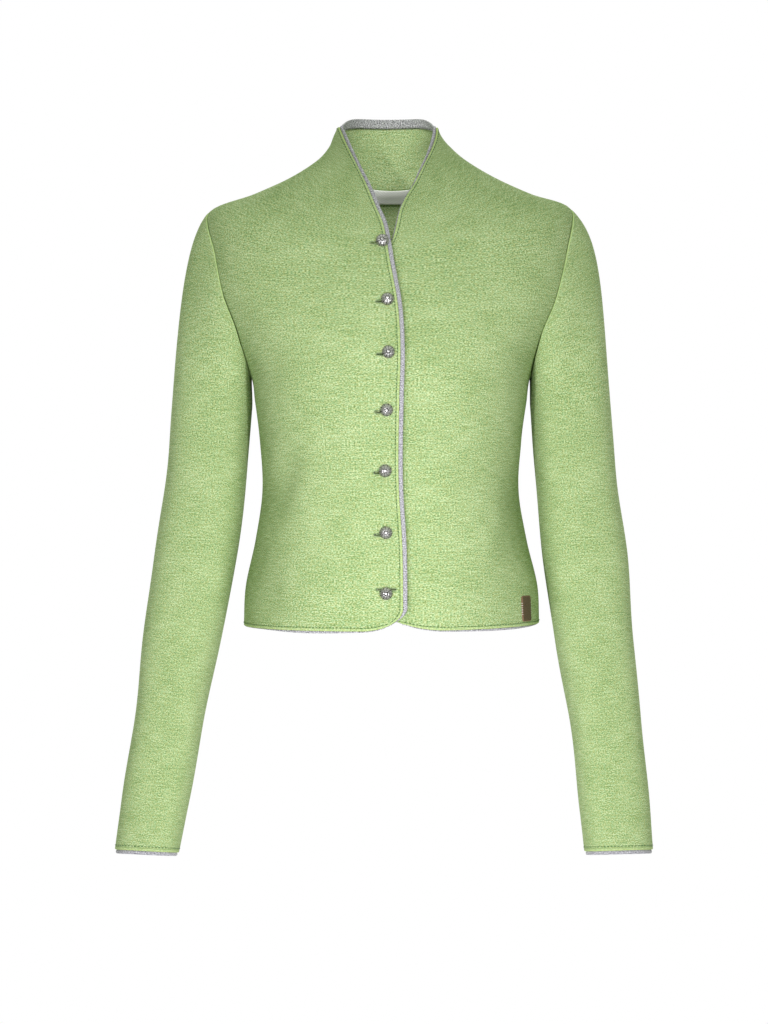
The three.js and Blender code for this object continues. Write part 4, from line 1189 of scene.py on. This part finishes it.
def leatherPatch():
    height, angle = placeOn(hemPatch["x"], hemPatch["z"])
    across = perRadian(height, angle)
    halfHeight, halfWidth, corner = hemPatch["halfHeight"], hemPatch["halfWidth"], hemPatch["corner"]
    rise = np.linspace(-1, 1, 41)[:, None] * halfHeight
    past = np.maximum(0, np.abs(rise) - (halfHeight - corner))
    width = halfWidth - corner + np.sqrt(np.maximum(0.3, corner**2 - past**2))
    sideways = np.linspace(-1, 1, 27)[None] * width
    rows = rise + 0 * sideways
    outer, normal = spot(height + rows, angle - sideways / across, -1)
    fromEdge = np.minimum(width - np.abs(sideways), halfHeight - np.abs(rows))
    close = 1 - np.clip(fromEdge / 1.1, 0, 1)
    thick = hemPatch["thickness"] * (1 - 0.42 * close**2) - 0.12 * bell(fromEdge - 1.9, 0.5)
    depths, marks = (-thick, 0 * thick - 0.05), {"fromEdge": fromEdge}
    panels["patch_hem"] = wall(
        "cardigan_leather_patch", outer, normal, depths, together(sideways, rows), leather, marks
    )
    begins, ends, normals = [], [], []
    for edge in (-1, 1):
        for step in np.linspace(-0.42, 0.42, 6):
            for inset, store in ((0.9, begins), (-0.7, ends)):
                at, facing = spot(height + step * halfHeight, angle - edge * (halfWidth - inset) / across, -1)
                store.append(at + facing * (hemPatch["thickness"] - 0.1 if inset > 0 else 0.35))
            normals.append(facing)
    stitches("patch_stitching", begins, ends, normals, 0.3, threadWhite, 0.3)


panels["label_neck"] = neckLabel()
leatherPatch()
print("tape and patch made")

for name, piece in panels.items():
    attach(piece, "root")
    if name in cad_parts:
        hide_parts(name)


def measured(piece):
    return sum(polygon.area for polygon in piece.data.polygons) / 2


cuts = {
    "front_right": ((0.245, 0.56), ["binding_front_right", "buttonhole_stitching"]),
    "front_left": ((0.250, 0.56), ["binding_front_left", "patch_hem", "patch_stitching"]),
    "back": ((0.44, 0.50), ["binding_hem", "label_neck", "topstitching"]),
    "collar": ((0.15, 0.07), ["binding_collar"]),
    "sleeve_right": ((0.33, 0.65), ["binding_cuff_right"]),
    "sleeve_left": ((0.33, 0.65), ["binding_cuff_left"]),
}
for name, (size, others) in cuts.items():
    print(name, "area", round(measured(panels[name]), 4), "flat", round(size[0] * size[1], 4))

light = {
    "floor": -1.5,
    "around": 0.155,  # of the white behind
    "overhead": 0.72,
    "tint": (0.90, 1.0, 0.81),  # of the light thrown back by the cloth and the room
}
# Place, aim, size, power, cone in degrees, how soft its edge is, how much taller the cone is than wide
lamps = {
    "key": ((-0.55, -2.65, -0.85), (0, 0, -0.405), 0.2, 80, 21.2, 0.5, 1),
    "fill": ((0.4, -2.7, -0.5), (0, 0, -0.405), 0.24, 48, 21.2, 0.5, 1),
    "crossRight": ((0.95, -2.4, -0.75), (-0.2, 0, -0.405), 0.2, 122, 10.8, 1, 3.2),
    "crossLeft": ((-0.95, -2.4, -0.75), (0.2, 0, -0.405), 0.2, 122, 10.8, 1, 3.2),
    "edge": ((2.1, 0.1, -0.3), (0, 0, -0.35), 1.0, 12, 60, 0.5, 1),
    "neck": ((0, -1.1, 1.0), (0, 0.05, 0.036), 0.03, 72, 3.9, 0.5, 1),
}


def studio():
    reach, floorZ = 1.6, light["floor"]
    corners = [(x * reach, y * reach, floorZ) for x, y in ((-1, -1), (1, -1), (1, 1), (-1, 1))]
    paper = Finish("studio_paper", Roughness=0.9, Base_Color=(0.8, 0.8, 0.8))
    floor = newObject("studio_floor", np.array(corners) / mm, [(0, 1, 2, 3)], paper.material)
    world = bpy.data.worlds.new("studio")
    world.use_nodes = True
    bpy.context.scene.world = world
    sky = Nodes(world.node_tree)
    direction = sky.node("ShaderNodeTexCoord", {}, {}, "Generated")
    split = sky.node("ShaderNodeSeparateXYZ", {}, {0: direction}, "Y")
    height = Wire(sky, split.socket.node.outputs["Z"])
    base = sky.step(height, 0.0, 1.0, 0.0, light["overhead"]) + light["around"]
    behind = sky.step(split, -0.3, 0.75)
    backdrop = world.node_tree.nodes["Background"].inputs
    sky.put(backdrop["Strength"], base + behind * (1 - base))
    sky.put(backdrop["Color"], sky.blend(behind, light["tint"], (1.0, 1.0, 1.0)))
    for name, (place, aim, size, power, cone, softness, tall) in lamps.items():
        lamp = bpy.data.lights.new(name, "SPOT")
        lamp.energy, lamp.shadow_soft_size = power, size / 2
        lamp.spot_size, lamp.spot_blend = math.radians(cone), softness
        holder = bpy.data.objects.new(name, lamp)
        holder.location = place
        holder.scale = (1, tall, 1)
        holder.rotation_euler = (Vector(aim) - Vector(place)).to_track_quat("-Z", "Y").to_euler()
        bpy.context.scene.collection.objects.link(holder)


view = {"place": (-0.0065, -3.0, -0.322), "sensor": 36, "lens": 105.47}


def camera():
    lens = bpy.data.cameras.new("camera")
    lens.sensor_width, lens.lens = view["sensor"], view["lens"]
    holder = bpy.data.objects.new("camera", lens)
    holder.location = view["place"]
    holder.rotation_euler = (math.pi / 2, 0, 0)
    bpy.context.scene.collection.objects.link(holder)
    bpy.context.scene.camera = holder


studio()
camera()
bpy.context.scene.view_settings.view_transform = "Standard"
bpy.context.view_layer.update()
print("triangles", sum(len(p.vertices) - 2 for piece in panels.values() for p in piece.data.polygons))
